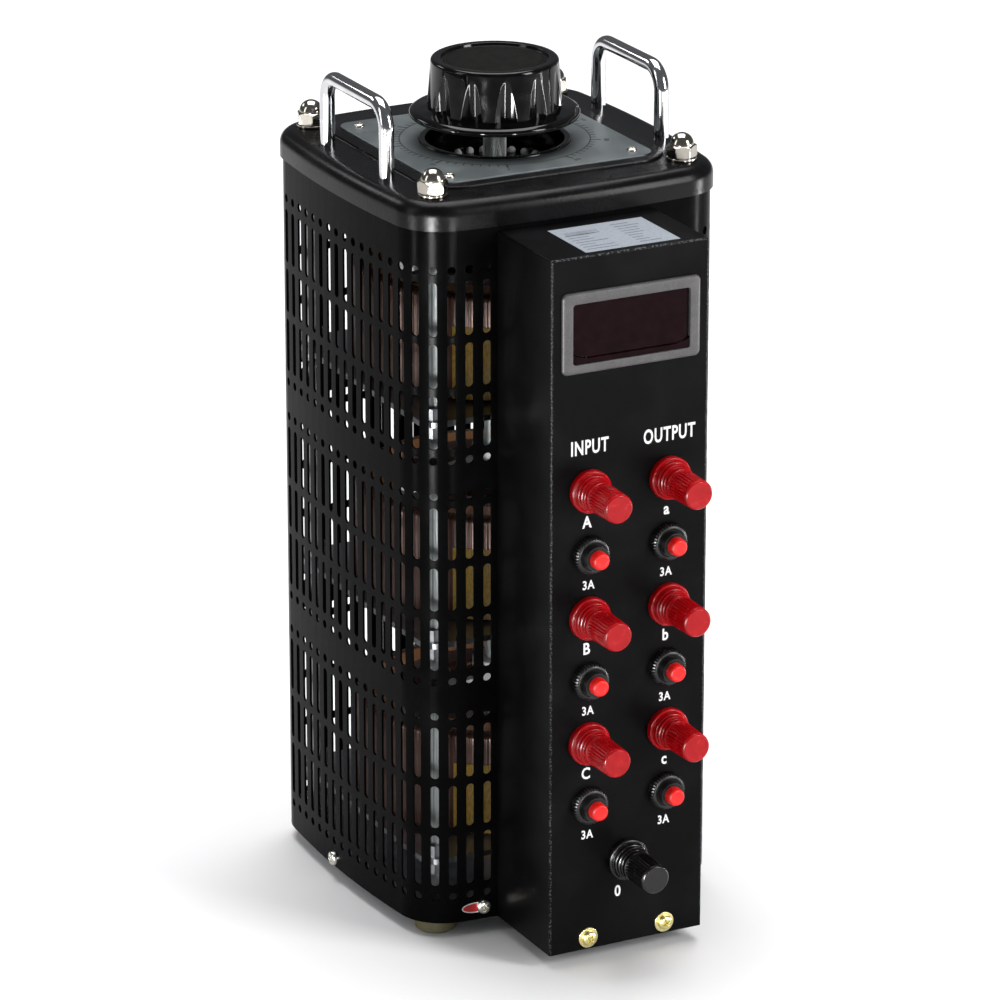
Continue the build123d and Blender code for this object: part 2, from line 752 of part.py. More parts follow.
floor_width = box_width - 2 * (sheet + floor_play)
floor_front = sheet
floor_length = box_depth - floor_front
with BuildPart() as box_floor:
    with BuildSketch(panel(-floor_front)):
        with Locations((0, foot_height + floor_lip / 2)):
            Rectangle(floor_width, floor_lip)
    extrude(amount=-floor_length)
    with BuildSketch(panel(-floor_front - floor_thickness)):
        with Locations((0, foot_height + floor_thickness + floor_lip / 2)):
            Rectangle(floor_width, floor_lip)
    extrude(amount=-(floor_length - 2 * floor_thickness), mode=Mode.SUBTRACT)
    with BuildSketch(panel(-floor_front)):
        with Locations(*box_screw_places):
            Circle(screw_radius)
    extrude(amount=-floor_thickness, mode=Mode.SUBTRACT)
box_floor.part.label = "box_floor"
export_step(box_floor.part, "parts/box_floor.step")

with BuildPart() as box_screws:
    with BuildSketch(panel(0)):
        with Locations(*box_screw_places):
            Circle(box_washer_radius)
    extrude(amount=box_washer_height)
    with BuildSketch(panel(box_washer_height)):
        with Locations(*box_screw_places):
            Circle(screw_head_radius)
    extrude(amount=screw_head)
    fillet(box_screws.edges().group_by(Axis.Y)[0], radius=screw_edge)
    with BuildSketch(panel(0)):
        with Locations(*box_screw_places):
            Circle(screw_radius)
    extrude(amount=-screw_length)
box_screws.part.label = "box_screws"
export_step(box_screws.part, "parts/box_screws.step")

# ---------------------------------------------------------------- panel meter
view_width = meter_width - 2 * bezel_side
view_height = meter_height - bezel_top - bezel_bottom
view_level = meter_level + (bezel_bottom - bezel_top) / 2
meter_body_width = meter_width - 2 * meter_body_inset
meter_body_height = meter_height - 2 * meter_body_inset

with BuildPart() as meter_housing:
    with BuildSketch(panel(0)):
        with Locations((0, meter_level)):
            RectangleRounded(meter_width, meter_height, bezel_corner)
    extrude(amount=bezel_proud)
    chamfer(meter_housing.edges().group_by(Axis.Y)[0], length=bezel_chamfer)
    with BuildSketch(panel(0)):
        with Locations((0, meter_level)):
            Rectangle(meter_body_width, meter_body_height)
    extrude(amount=-meter_body_depth)
    with BuildSketch(panel(bezel_proud)):
        with Locations((0, view_level)):
            Rectangle(view_width, view_height)
    extrude(amount=-(window_sink + window_thickness), mode=Mode.SUBTRACT)
    with BuildSketch(panel(-meter_body_depth)):
        with Locations((0, meter_level)):
            Rectangle(meter_body_width - 2 * meter_body_wall, meter_body_height - 2 * meter_body_wall)
    extrude(amount=meter_body_depth - meter_body_wall, mode=Mode.SUBTRACT)
meter_housing.part.label = "meter_housing"
export_step(meter_housing.part, "parts/meter_housing.step")

with BuildPart() as meter_window:
    with BuildSketch(panel(bezel_proud - window_sink)):
        with Locations((0, view_level)):
            Rectangle(view_width - 2 * window_play, view_height - 2 * window_play)
    extrude(amount=-window_thickness)
meter_window.part.label = "meter_window"
export_step(meter_window.part, "parts/meter_window.step")

# ---------------------------------------------------------------- binding posts
phase_names = [f"{kind}_{letter}" for kind in ("input", "output") for letter in "abc"]
post_names = phase_names + ["neutral"]
post_top_face = post_base_height + post_step_height
collar_face = post_top_face + collar_air
cap_face = collar_face + collar_height + collar_nose + collar_air
stud_reach = cap_face + cap_length - cap_wall

for name, places in (("terminal_bases", post_places), ("neutral_base", [neutral_place])):
    with BuildPart() as post_base:
        with BuildSketch(panel(0)):
            with Locations(*places):
                Circle(post_base_radius)
        extrude(amount=post_base_height)
        fillet(post_base.edges().group_by(Axis.Y)[0], radius=cap_edge)
        with BuildSketch(panel(post_base_height)):
            with Locations(*places):
                Circle(post_step_radius)
        extrude(amount=post_step_height)
        with BuildSketch(panel(0)):
            with Locations(*places):
                Circle(post_spigot_radius)
        extrude(amount=-post_spigot_length)
        with BuildSketch(panel(post_top_face)):
            with Locations(*places):
                Circle(stud_radius)
        extrude(amount=-(post_top_face + post_spigot_length), mode=Mode.SUBTRACT)
    post_base.part.label = name
    export_step(post_base.part, f"parts/{name}.step")

with BuildPart() as terminal_studs:
    with BuildSketch(panel(stud_reach - stud_end_gap)):
        with Locations(*all_post_places):
            Circle(stud_radius)
    extrude(amount=-(stud_reach - stud_end_gap + stud_tail))
    with BuildSketch(panel(-post_spigot_length)):
        with Locations(*all_post_places):
            RegularPolygon(stud_head_flats / 2, 6, major_radius=False)
    extrude(amount=-stud_head)
terminal_studs.part.label = "terminal_studs"
export_step(terminal_studs.part, "parts/terminal_studs.step")

for name, place in zip(post_names, all_post_places):
    with BuildPart() as clamp_collar:
        with BuildSketch(panel(collar_face)):
            with Locations(place):
                Circle(collar_radius)
        extrude(amount=collar_height)
        with BuildSketch(panel(collar_face + collar_height)):
            with Locations(place):
                Circle(collar_nose_radius)
        extrude(amount=collar_nose)
        with BuildSketch(panel(collar_face)):
            with Locations(place):
                Circle(stud_radius + thread_play)
        extrude(amount=collar_height + collar_nose, mode=Mode.SUBTRACT)
    clamp_collar.part.label = f"clamp_collar_{name}"
    export_step(clamp_collar.part, f"parts/clamp_collar_{name}.step")

    with BuildPart() as terminal_cap:
        with BuildSketch(panel(cap_face)):
            with Locations(place):
                Circle(cap_radius)
        with BuildSketch(panel(cap_face + cap_length)):
            with Locations(place):
                Circle(cap_end_radius)
        loft()
        fillet(terminal_cap.edges().group_by(Axis.Y)[0], radius=cap_edge)
        with BuildSketch(panel(cap_face)):
            with Locations(place):
                Circle(stud_radius + thread_play)
        extrude(amount=cap_length - cap_wall, mode=Mode.SUBTRACT)
    terminal_cap.part.label = f"terminal_cap_{name}"
    export_step(terminal_cap.part, f"parts/terminal_cap_{name}.step")

# ---------------------------------------------------------------- circuit breakers
button_bore_depth = button_inside + button_pocket

with BuildPart() as breaker_bodies:
    with BuildSketch(panel(-sheet)):
        with Locations(*breaker_places):
            Rectangle(breaker_width, breaker_tall)
    extrude(amount=-breaker_depth)
    with BuildSketch(panel(-sheet)):
        with Locations(*breaker_places):
            Circle(breaker_neck_radius)
    extrude(amount=sheet + breaker_neck)
    with BuildSketch(panel(breaker_neck)):
        with Locations(*breaker_places):
            Circle(button_radius + button_play)
    extrude(amount=-(breaker_neck + button_bore_depth), mode=Mode.SUBTRACT)
breaker_bodies.part.label = "breaker_bodies"
export_step(breaker_bodies.part, "parts/breaker_bodies.step")

with BuildPart() as breaker_nuts:
    with BuildSketch(panel(0)):
        with Locations(*breaker_places):
            Circle(breaker_nut_radius)
            Circle(breaker_neck_radius, mode=Mode.SUBTRACT)
            with PolarLocations(breaker_nut_radius, breaker_nut_notches):
                Circle(breaker_nut_notch, mode=Mode.SUBTRACT)
    extrude(amount=breaker_nut_height)
breaker_nuts.part.label = "breaker_nuts"
export_step(breaker_nuts.part, "parts/breaker_nuts.step")

for name, place in zip(phase_names, breaker_places):
    with BuildPart() as reset_button:
        with BuildSketch(panel(-button_inside)):
            with Locations(place):
                Circle(button_radius)
        extrude(amount=button_inside + button_proud)
        fillet(reset_button.edges().group_by(Axis.Y)[0], radius=button_edge)
    reset_button.part.label = f"reset_button_{name}"
    export_step(reset_button.part, f"parts/reset_button_{name}.step")
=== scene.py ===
# %% [markdown]
# # A three-phase variable autotransformer
# The object is a tall black instrument: three wire-wound rings stand inside a slotted steel wrap,
# and a knob on top turns one shaft that slides a carbon brush over each ring. The measured model
# comes first. It is loaded as a fixed frame, and everything below is laid over it by asking it
# where its parts are, so no piece is fitted by eye.

# %% Load the measured frame
import bmesh
import bpy
import numpy as np
from math import asin, cos, pi, radians, sin, sqrt
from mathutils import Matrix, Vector


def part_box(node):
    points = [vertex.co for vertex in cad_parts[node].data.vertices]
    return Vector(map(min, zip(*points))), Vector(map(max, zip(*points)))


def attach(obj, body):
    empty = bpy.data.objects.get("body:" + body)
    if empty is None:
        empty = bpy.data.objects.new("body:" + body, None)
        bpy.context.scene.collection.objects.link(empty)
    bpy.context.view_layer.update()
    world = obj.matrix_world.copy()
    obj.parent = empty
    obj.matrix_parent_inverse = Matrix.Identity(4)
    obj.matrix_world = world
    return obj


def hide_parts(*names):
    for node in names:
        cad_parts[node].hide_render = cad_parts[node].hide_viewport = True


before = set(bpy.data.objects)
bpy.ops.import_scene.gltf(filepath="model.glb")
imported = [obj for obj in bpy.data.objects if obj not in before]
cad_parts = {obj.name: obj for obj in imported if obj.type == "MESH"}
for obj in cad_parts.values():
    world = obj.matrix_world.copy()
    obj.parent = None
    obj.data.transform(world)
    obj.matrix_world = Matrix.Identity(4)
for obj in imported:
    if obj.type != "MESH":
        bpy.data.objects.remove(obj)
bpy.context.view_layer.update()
MM = 0.001


# %% [markdown]
# ## Asking the frame where things are
# A part's box gives its lowest and highest corner. Shapes are easier to think about in
# millimetres, so the helpers below hand boxes over in millimetres, and only the mesh maker turns
# them back into Blender's metres.

# %% Boxes in millimetres
def box_mm(node):
    """Lowest and highest corner of a CAD node, as two arrays in millimetres."""
    return tuple(np.array(corner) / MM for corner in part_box(node))


def middle(node):
    """Middle of a CAD node's box, in millimetres."""
    low, high = box_mm(node)
    return (low + high) / 2


def heads(node, axis, limit, side):
    """Middle of those points of a CAD node that lie past a limit along an axis: a screw's head."""
    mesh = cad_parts[node].data
    points = np.empty(len(mesh.vertices) * 3)
    mesh.vertices.foreach_get("co", points)
    points = points.reshape(-1, 3) / MM
    chosen = points[side * (points[:, axis] - limit) > 0.1]
    return (chosen.min(axis=0) + chosen.max(axis=0)) / 2


shell_low, shell_high = box_mm("perforated_shell")
shaft_at = middle("shaft")
panel_y = box_mm("terminal_box")[0][1]
print("shaft stands at", shaft_at[:2].round(2), "and the panel's face is at y =", round(panel_y, 2))


# %% [markdown]
# ## From a grid of points to a mesh
# Every new piece here is a surface: a rule that gives one point for each pair of parameters. A
# grid of such points becomes a mesh when neighbours are joined into four-sided faces. Where a
# surface closes on itself, the last row is joined to the first one. Doubled points at a pole are
# merged, and any open end is capped, so the result is a closed skin that faces outwards.

# %% The mesh maker
WELD = 2e-7              # metres: points nearer than this are one point, as at a pole


def make_piece(name, grids, body, material, closed=(True, False), crease=32, replaces=()):
    """Joins grids of points (rows, columns, xyz) in millimetres into one closed mesh object."""
    points, faces, start = [], [], 0
    for grid in grids:
        grid = np.asarray(grid, float)
        rows, columns = grid.shape[:2]
        index = start + np.arange(rows * columns).reshape(rows, columns)
        index = np.vstack([index, index[:1]]) if closed[0] else index
        index = np.hstack([index, index[:, :1]]) if closed[1] else index
        corners = [index[:-1, :-1], index[1:, :-1], index[1:, 1:], index[:-1, 1:]]
        faces.append(np.stack(corners, -1).reshape(-1, 4))
        points.append(grid.reshape(-1, 3))
        start += rows * columns
    mesh = bpy.data.meshes.new(name)
    mesh.from_pydata((np.vstack(points) * MM).tolist(), [], np.vstack(faces).tolist())
    clean = bmesh.new()
    clean.from_mesh(mesh)
    bmesh.ops.remove_doubles(clean, verts=clean.verts, dist=WELD)
    open_edges = [edge for edge in clean.edges if edge.is_boundary]
    if open_edges:
        bmesh.ops.holes_fill(clean, edges=open_edges)
    bmesh.ops.recalc_face_normals(clean, faces=clean.faces)
    clean.to_mesh(mesh)
    clean.free()
    return finish_piece(name, mesh, body, material, crease, replaces)


def finish_piece(name, mesh, body, material, crease=32, replaces=()):
    """Gives a mesh smooth shading with sharp creases, its material, and the body that it rides on."""
    mesh.polygons.foreach_set("use_smooth", np.ones(len(mesh.polygons), bool))
    mesh.set_sharp_from_angle(angle=radians(crease))
    mesh.materials.append(material)
    piece = bpy.data.objects.new(name, mesh)
    bpy.context.scene.collection.objects.link(piece)
    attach(piece, body)
    if replaces:
        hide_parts(*replaces)
    print(f"{name}: {len(mesh.polygons)} faces")
    return piece


# %% [markdown]
# ## Two ways to stand, and three ways to shape
# Pieces stand either upright, with their axis along +Z, or out of the front panel, with their
# axis along -Y. A small matrix says which. The three shapes that return again and again are a
# profile turned about an axis, an outline that changes from ring to ring, and a tube along a path.

# %% Axes and turned shapes
UPRIGHT = np.eye(3)
OUT_OF_FRONT = np.array([[1.0, 0, 0], [0, 0, 1.0], [0, -1.0, 0]])
OUT_OF_LEFT = np.array([[0, -1.0, 0], [0, 0, 1.0], [-1.0, 0, 0]])
OUT_OF_RIGHT = np.array([[0, 1.0, 0], [0, 0, 1.0], [1.0, 0, 0]])
OUT_OF_BACK = np.array([[-1.0, 0, 0], [0, 0, 1.0], [0, 1.0, 0]])


def around(count):
    """Evenly spaced angles round a circle, as a column, so that they pair with a row of heights."""
    return np.linspace(0, 2 * pi, count, endpoint=False)[:, None]


def turned(radius, height, origin, axes=UPRIGHT, count=96):
    """Turns a profile about an axis: across is radius times the angle's cosine, along is radius
    times its sine, and height stays. Radius may differ for each angle, as on a knurl."""
    angle = around(count)
    local = np.stack(np.broadcast_arrays(radius * np.cos(angle), radius * np.sin(angle), height), -1)
    return np.asarray(origin) + local @ axes


def rounded(corners, radius=0.35, steps=4):
    """A profile whose corners are eased: between one point on each side of a corner runs the
    quadratic curve (1-t)^2 A + 2t(1-t) P + t^2 B. Returns radii and heights."""
    corners = np.asarray(corners, float)
    before, corner, after = corners[:-2], corners[1:-1], corners[2:]
    toward = [side - corner for side in (before, after)]
    lengths = [np.linalg.norm(side, axis=1, keepdims=True) for side in toward]
    cut = np.minimum(radius, 0.49 * np.minimum(*lengths))
    first, last = (corner + side / length * cut for side, length in zip(toward, lengths))
    t = np.linspace(0, 1, steps + 1)[None, :, None]
    curve = (1 - t) ** 2 * first[:, None] + 2 * t * (1 - t) * corner[:, None] + t ** 2 * last[:, None]
    profile = np.vstack([corners[:1], curve.reshape(-1, 2), corners[-1:]])
    return profile[:, 0], profile[:, 1]


eased_corner = rounded([(0, 0), (5, 0), (5, 5)])
print("one eased corner takes", len(eased_corner[0]), "points of a profile")


# %% [markdown]
# ## Outlines in rings, and a tube along a path
# Pressed sheet has rounded-square outlines: the cover, the dial plate, the meter's frame. Bevels
# on a box would pinch where they meet at a corner. A stack of outlines keeps every ring's points
# in the same directions from the middle, so the skin between two rings never twists. A handle is
# a bent rod, so it is a circle carried along a path.

# %% Ringed shapes and tubes
STRAIGHT = 1e5           # wall radius, in millimetres, of an outline whose walls don't bow


def ringed(rings, origin, axes=UPRIGHT, count=720):
    """A surface through rounded rectangles, each (half width, half length, corner radius, height,
    wall radius). A wall is an arc about a centre far behind it, and a corner's arc touches both
    walls. In each direction d the edge is the far root of |d t - c| = r, for the wall's centre c
    and radius r, or for the corner's where the direction lies between its two touching points."""
    half_x, half_y, corner, height, wall = np.array([(*ring, STRAIGHT)[:5] for ring in rings], float).T
    corner = np.minimum(corner, np.minimum(half_x, half_y))
    side_x, end_y = half_x - wall, half_y - wall
    gap = np.hypot(side_x, end_y)
    rise = np.sqrt((wall - corner) ** 2 - (gap / 2) ** 2)
    kx, ky = side_x / 2 - rise * end_y / gap, end_y / 2 - rise * side_x / gap
    angle = around(count) + 0.5 * pi / count
    dx, dy = np.abs(np.cos(angle)), np.abs(np.sin(angle))

    def far_root(cx, cy, radius):
        """Where a ray from the middle leaves a circle: d.c + sqrt((d.c)^2 - |c|^2 + r^2)."""
        on = dx * cx + dy * cy
        return on + np.sqrt(np.maximum(on ** 2 - cx ** 2 - cy ** 2 + radius ** 2, 0))

    straight = np.minimum(far_root(side_x, 0, wall), far_root(0, end_y, wall))
    px, py = straight * dx, straight * dy
    past_side = (kx - side_x) * py > ky * (px - side_x)
    past_end = kx * (py - end_y) < (ky - end_y) * px
    reach = np.where(past_side & past_end, far_root(kx, ky, corner), straight)
    local = np.stack(np.broadcast_arrays(reach * np.cos(angle), reach * np.sin(angle), height), -1)
    return np.asarray(origin) + local @ axes


def tube(path, radius, across, count=40):
    """A round tube: at each point of a flat path the circle is radius times (cosine times the
    fixed sideways direction plus sine times the direction square to it and to the path)."""
    path = np.asarray(path, float)
    forward = np.gradient(path, axis=0)
    forward /= np.linalg.norm(forward, axis=1, keepdims=True)
    square = np.cross(forward, across)
    angle = around(count)[:, :, None]
    return path[None] + radius * (np.cos(angle) * np.asarray(across) + np.sin(angle) * square[None])


square_ring = ringed([(10, 10, 2, 0)], (0, 0, 0))
print("a 20 mm square is", round(float(np.ptp(square_ring[..., 0])), 3), "mm wide as a ring of points")


# %% [markdown]
# ## Marks made of bars
# A printed tick or rule is a box a few hundredths of a millimetre thick. There are dozens, so
# they are worked out together: one array of centres, one of directions and one of sizes.

# %% Flat bars, for printed marks
def bars(centres, along, side, up, sizes):
    """Thin boxes, each the six faces of one grid: its centre plus or minus half its length, width
    and thickness along three directions."""
    centres, along, side = (np.asarray(v, float) for v in (centres, along, side))
    up, sizes = np.asarray(up, float), np.asarray(sizes, float)
    loop = np.array([[-1, -1], [1, -1], [1, 1], [-1, 1]]) / 2
    grids = []
    for step in (0, 1):
        ring = (centres[:, None] + loop[None, :, :1] * (along * sizes[:, :1])[:, None]
                + loop[None, :, 1:] * (side * sizes[:, 1:2])[:, None] + step * up * sizes[:, None, 2:])
        grids.append(ring)
    return np.stack(grids, axis=2)


one_bar = bars([(0, 0, 0)], [(1, 0, 0)], [(0, 1, 0)], (0, 0, 1), [(4, 1, 0.1)])
print("one bar is a grid of", one_bar.shape[1], "by", one_bar.shape[2], "points")


# %% [markdown]
# ## Shader maths as plain expressions
# A material is a graph of nodes. Building one node by node hides what it says, so a socket is
# wrapped in a small class whose operators add the Math nodes. `1 - mask * 0.5` then reads as it
# would on paper. Patterns read the object's own coordinates in millimetres, so a pattern keeps
# its real size and stays on the piece when it moves.

# %% A socket that can be used in sums
class Value:
    """A node's output. Each operator adds one Math node and gives back its output."""

    def __init__(self, recipe, socket):
        self.recipe = recipe
        self.socket = socket

    def __add__(self, other):
        return self.recipe.math("ADD", self, other)

    def __sub__(self, other):
        return self.recipe.math("SUBTRACT", self, other)

    def __rsub__(self, other):
        return self.recipe.math("SUBTRACT", other, self)

    def __mul__(self, other):
        return self.recipe.math("MULTIPLY", self, other)

    __radd__ = __add__
    __rmul__ = __mul__


# %% [markdown]
# ## A material as a recipe
# Every finish below is built the same way: make a few noises, turn them into masks, mix colours
# by them, and hand colour, roughness and bump to the shader. So one class holds the node tree,
# and has a short method for each of these steps. All nodes are added by one method, `node`.

# %% A material being put together
class Recipe:
    """One material. `fixed` holds the shader's constant settings, by the names of its sockets."""

    def __init__(self, name, fixed):
        self.material = bpy.data.materials.new(name)
        self.material.use_nodes = True
        self.tree = self.material.node_tree
        self.shader = self.tree.nodes["Principled BSDF"]
        for socket, value in fixed.items():
            self.shader.inputs[socket].default_value = value
        at = self.node("ShaderNodeTexCoord", {}, {}, "Object")
        self.at = self.node("ShaderNodeVectorMath", {"operation": "SCALE"}, {0: at, "Scale": 1 / MM})

    def node(self, kind, settings, inputs, output=0):
        """Adds a node: its settings first, then the value or link of each named socket."""
        node = self.tree.nodes.new(kind)
        for key, value in settings.items():
            setattr(node, key, value)
        for key, value in inputs.items():
            if isinstance(value, Value):
                self.tree.links.new(value.socket, node.inputs[key])
            else:
                node.inputs[key].default_value = value
        return Value(self, node.outputs[output])

    def math(self, operation, first, second=0.0):
        """One Math node on two numbers or values."""
        return self.node("ShaderNodeMath", {"operation": operation}, {0: first, 1: second})

    def noise(self, scale, detail=3.0, stretch=(1, 1, 1)):
        """Soft noise from 0 to 1. Scale is in waves per millimetre, and a stretch below 1 draws the
        noise out along that axis."""
        place = self.node("ShaderNodeVectorMath", {"operation": "MULTIPLY"}, {0: self.at, 1: stretch})
        return self.node("ShaderNodeTexNoise", {}, {"Vector": place, "Scale": scale, "Detail": detail})

    def step(self, value, low, high):
        """0 below low, 1 above high, and an even slope between."""
        return self.node("ShaderNodeMapRange", {}, {"Value": value, "From Min": low, "From Max": high})

    def part(self, axis):
        """One of the place's three coordinates, in millimetres."""
        return self.node("ShaderNodeSeparateXYZ", {}, {0: self.at}, axis)

    def mix(self, factor, first, second):
        """A colour that goes from the first to the second."""
        first, second = (v if isinstance(v, Value) else (*v, 1.0) for v in (first, second))
        return self.node("ShaderNodeMix", {"data_type": "RGBA"}, {0: factor, 6: first, 7: second}, 2)

    def wear(self, **links):
        """Links what varies to the shader, and gives the finished material back."""
        for key, value in links.items():
            self.tree.links.new(value.socket, self.shader.inputs[key.replace("_", " ").title()])
        return self.material

    def bumped(self, height, **links):
        """As wear, with a height in millimetres that tilts the surface."""
        normal = self.node("ShaderNodeBump", {}, {"Height": height, "Distance": MM, "Strength": 1.0})
        return self.wear(normal=normal, **links)


def announce(kind, *materials):
    """Prints which materials a cell has made, with the number of nodes in each."""
    print(kind, {material.name: len(material.node_tree.nodes) for material in materials})


# %% [markdown]
# ## Black stove enamel
# The wrap, the cover and the box are sheet steel with black enamel. Sprayed enamel is never flat:
# it has a faint orange peel, which breaks up long reflections, and a finer grain where it went on
# dry. It is rubbed lighter along folds and carries a little dust. Peel and grain are two noises
# of different sizes fed to the bump, and dust is a wide noise that lifts colour and roughness.

# %% Enamel
def enamel(name, colour, roughness, peel, grain, level, chipped=None):
    """Black paint: peel and grain are the heights, in millimetres, of two noises added up. Dust is
    a third noise that lifts colour and roughness. Level is how strongly the paint mirrors."""
    paint = Recipe(name, {"Specular IOR Level": level})
    peel_wave = paint.noise(0.45, 2.0)
    grain_wave = paint.noise(2.6, 4.0)
    dust = paint.step(paint.noise(0.035, 5.0), 0.45, 0.75)
    specks = paint.step(paint.noise(1.1, 2.0), 0.70, 0.76)
    dusty = tuple(v * 1.9 + 0.003 for v in colour)
    shade = paint.mix(dust * 0.5 + specks * 0.25, colour, dusty)
    rough = roughness + 0.10 * dust + 0.14 * grain_wave - 0.07
    if chipped is not None:
        near = chipped(paint)
        chips = near * paint.step(paint.noise(0.9, 6.0), 0.50, 0.58)
        shade = paint.mix(chips * 0.6, shade, (0.16, 0.16, 0.17))
    height = peel_wave * peel + grain_wave * grain
    return paint.bumped(height, base_color=shade, roughness=rough)


def box_folds(paint):
    """1 within about a millimetre of the box's two upright folds and of its top fold, else 0."""
    low, high = box_mm("terminal_box")
    side = paint.math("ABSOLUTE", paint.part(0))
    near_side = paint.step(side, high[0] - 1.3, high[0] - 0.5)
    near_front = 1 - paint.step(paint.part(1), low[1] + 0.4, low[1] + 1.2)
    near_top = paint.step(paint.part(2), high[2] - 1.3, high[2] - 0.5)
    return near_front * paint.math("MAXIMUM", near_side, near_top)


wrap_paint = enamel("wrap_enamel", (0.0024, 0.0024, 0.0026), 0.22, 0.034, 0.010, 0.016)
cover_paint = enamel("cover_enamel", (0.0030, 0.0030, 0.0033), 0.24, 0.045, 0.035, 0.12)
box_paint = enamel("box_enamel", (0.0030, 0.0030, 0.0034), 0.30, 0.012, 0.010, 0.05, box_folds)
announce("enamels:", wrap_paint, cover_paint, box_paint)


# %% [markdown]
# ## Plated and bare metal
# Polished plating mirrors its surroundings, so what tells the eye that it is metal are small
# faults: a haze of fine scratches and a roughness that drifts. Drawn rods and punched plates show
# a grain that runs one way, made by drawing a noise out along one axis.

# %% Metals
def plated(name, colour, roughness=0.07, haze=0.10, pits=0.002):
    """Bright plating: haze drifts over some centimetres, and pits are a fraction of a millimetre."""
    metal = Recipe(name, {"Metallic": 1.0})
    drift = metal.noise(0.12, 4.0)
    scratches = metal.noise(3.0, 6.0, (1, 1, 0.15))
    rough = roughness + haze * metal.step(drift, 0.45, 0.8) + 0.05 * scratches
    dull = tuple(v * 0.72 for v in colour)
    shade = metal.mix(metal.step(drift, 0.4, 0.9) * 0.6, colour, dull)
    return metal.bumped(scratches * pits, base_color=shade, roughness=rough)


def grained(name, colour, stretch, roughness=0.32, stain=(0.5, 0.48, 0.44)):
    """Metal with a grain along one axis and faint stains."""
    metal = Recipe(name, {"Metallic": 1.0})
    grain = metal.noise(2.2, 5.0, stretch)
    stains = metal.step(metal.noise(0.08, 5.0), 0.5, 0.8)
    stained = tuple(a * b for a, b in zip(colour, stain))
    shade = metal.mix(stains * 0.7, colour, stained)
    rough = roughness + 0.20 * grain - 0.08 + 0.12 * stains
    return metal.bumped(grain * 0.012, base_color=shade, roughness=rough)


chrome = plated("handle_chrome", (0.66, 0.66, 0.67), 0.06, 0.10)
warm_nickel = plated("acorn_nickel", (0.44, 0.41, 0.36), 0.09, 0.12)
pale_nickel = plated("screw_nickel", (0.70, 0.68, 0.62), 0.16, 0.12, 0.006)
zinc_steel = grained("zinc_steel", (0.34, 0.35, 0.37), (1, 0.3, 1))
rod_steel = grained("drawn_rod_steel", (0.30, 0.32, 0.32), (1, 1, 0.05), 0.34)
brass = grained("machined_brass", (0.72, 0.52, 0.22), (1, 1, 0.4), 0.25)
arm_alloy = grained("cast_arm_alloy", (0.58, 0.58, 0.58), (1, 1, 1), 0.45)
core_strip = grained("wound_core_strip", (0.24, 0.22, 0.20), (0.2, 0.2, 2.0), 0.45)
announce("metals:", chrome, warm_nickel, pale_nickel, zinc_steel, rod_steel, brass, arm_alloy, core_strip)


# %% [markdown]
# ## Yellow zinc
# The two screws at the foot of the box are zinc plated and then dipped, which leaves a film as
# thin as a soap bubble. Its colour drifts from gold to green to pink with its thickness. One slow
# noise mixes gold and green, and another adds patches of pink.

# %% Yellow zinc for the box screws
def yellow_zinc(name):
    """Passivated zinc: gold that drifts to green and pink, with a cast grain."""
    metal = Recipe(name, {"Metallic": 1.0})
    drift = metal.step(metal.noise(0.35, 3.0), 0.35, 0.65)
    green_gold = metal.mix(drift, (0.80, 0.66, 0.28), (0.62, 0.60, 0.30))
    pink = metal.step(metal.noise(0.6, 2.0), 0.58, 0.72)
    shade = metal.mix(pink * 0.45, green_gold, (0.78, 0.50, 0.42))
    grain = metal.noise(2.5, 4.0)
    return metal.bumped(grain * 0.02, base_color=shade, roughness=0.20 + 0.18 * grain)


gold_zinc = yellow_zinc("yellow_zinc")
announce("film:", gold_zinc)


# %% [markdown]
# ## Moulded plastics
# Phenolic and thermoplastic mouldings have a deep, even colour under a skin that is glossy but
# not perfect: sink marks make it wave slowly, and handling leaves a satin bloom. Red plastic is
# a little translucent, which shows as slightly brighter red on thin ribs, so its colour drifts.

# %% Plastics
def moulded(name, colour, roughness, wave=0.02, bloom=0.10, pale=1.35, level=0.5, fixed=None):
    """Moulded plastic: a slow wave in the skin, a satin bloom, and a colour that drifts."""
    plastic = Recipe(name, {"Specular IOR Level": level, **(fixed or {})})
    drift = plastic.noise(0.18, 4.0)
    fine = plastic.noise(2.4, 4.0)
    lighter = tuple(min(v * pale + 0.002, 1.0) for v in colour)
    shade = plastic.mix(plastic.step(drift, 0.35, 0.75), colour, lighter)
    rough = roughness + bloom * plastic.step(drift, 0.4, 0.8) + 0.05 * fine
    return plastic.bumped(drift * wave + fine * 0.003, base_color=shade, roughness=rough)


knob_black = moulded("knob_phenolic", (0.0015, 0.0015, 0.0015), 0.05, 0.04, 0.06, level=0.24)
disc_black = moulded("knob_disc", (0.004, 0.004, 0.003), 0.34, 0.01, 0.10, level=0.07)
part_black = moulded("black_phenolic", (0.005, 0.005, 0.005), 0.28, 0.02, 0.15, level=0.35)
terminal_red = moulded("terminal_red", (0.37, 0.0012, 0.004), 0.18, 0.02, 0.12, 1.3, 0.22,
                       fixed={"Subsurface Weight": 0.06, "Subsurface Scale": 0.002})
terminal_black = moulded("terminal_black", (0.003, 0.003, 0.003), 0.16, 0.02, 0.14, level=0.4)
button_red = moulded("button_red", (0.90, 0.006, 0.004), 0.34, 0.01, 0.12, 1.15, 0.3)
foot_rubber = moulded("foot_rubber", (0.16, 0.14, 0.05), 0.72, 0.03, 0.10, 0.8, 0.2)
carbon = moulded("brush_carbon", (0.018, 0.018, 0.019), 0.55, 0.02, 0.10)
# The balls' near-white is painted light, set high so that they stay pale in the shade under the knob.
ball_painted_pale = moulded("thrust_ball", (0.80, 0.80, 0.78), 0.25, 0.0, 0.10)
announce("plastics:", knob_black, disc_black, part_black, terminal_red, terminal_black, button_red,
         foot_rubber, carbon, ball_painted_pale)


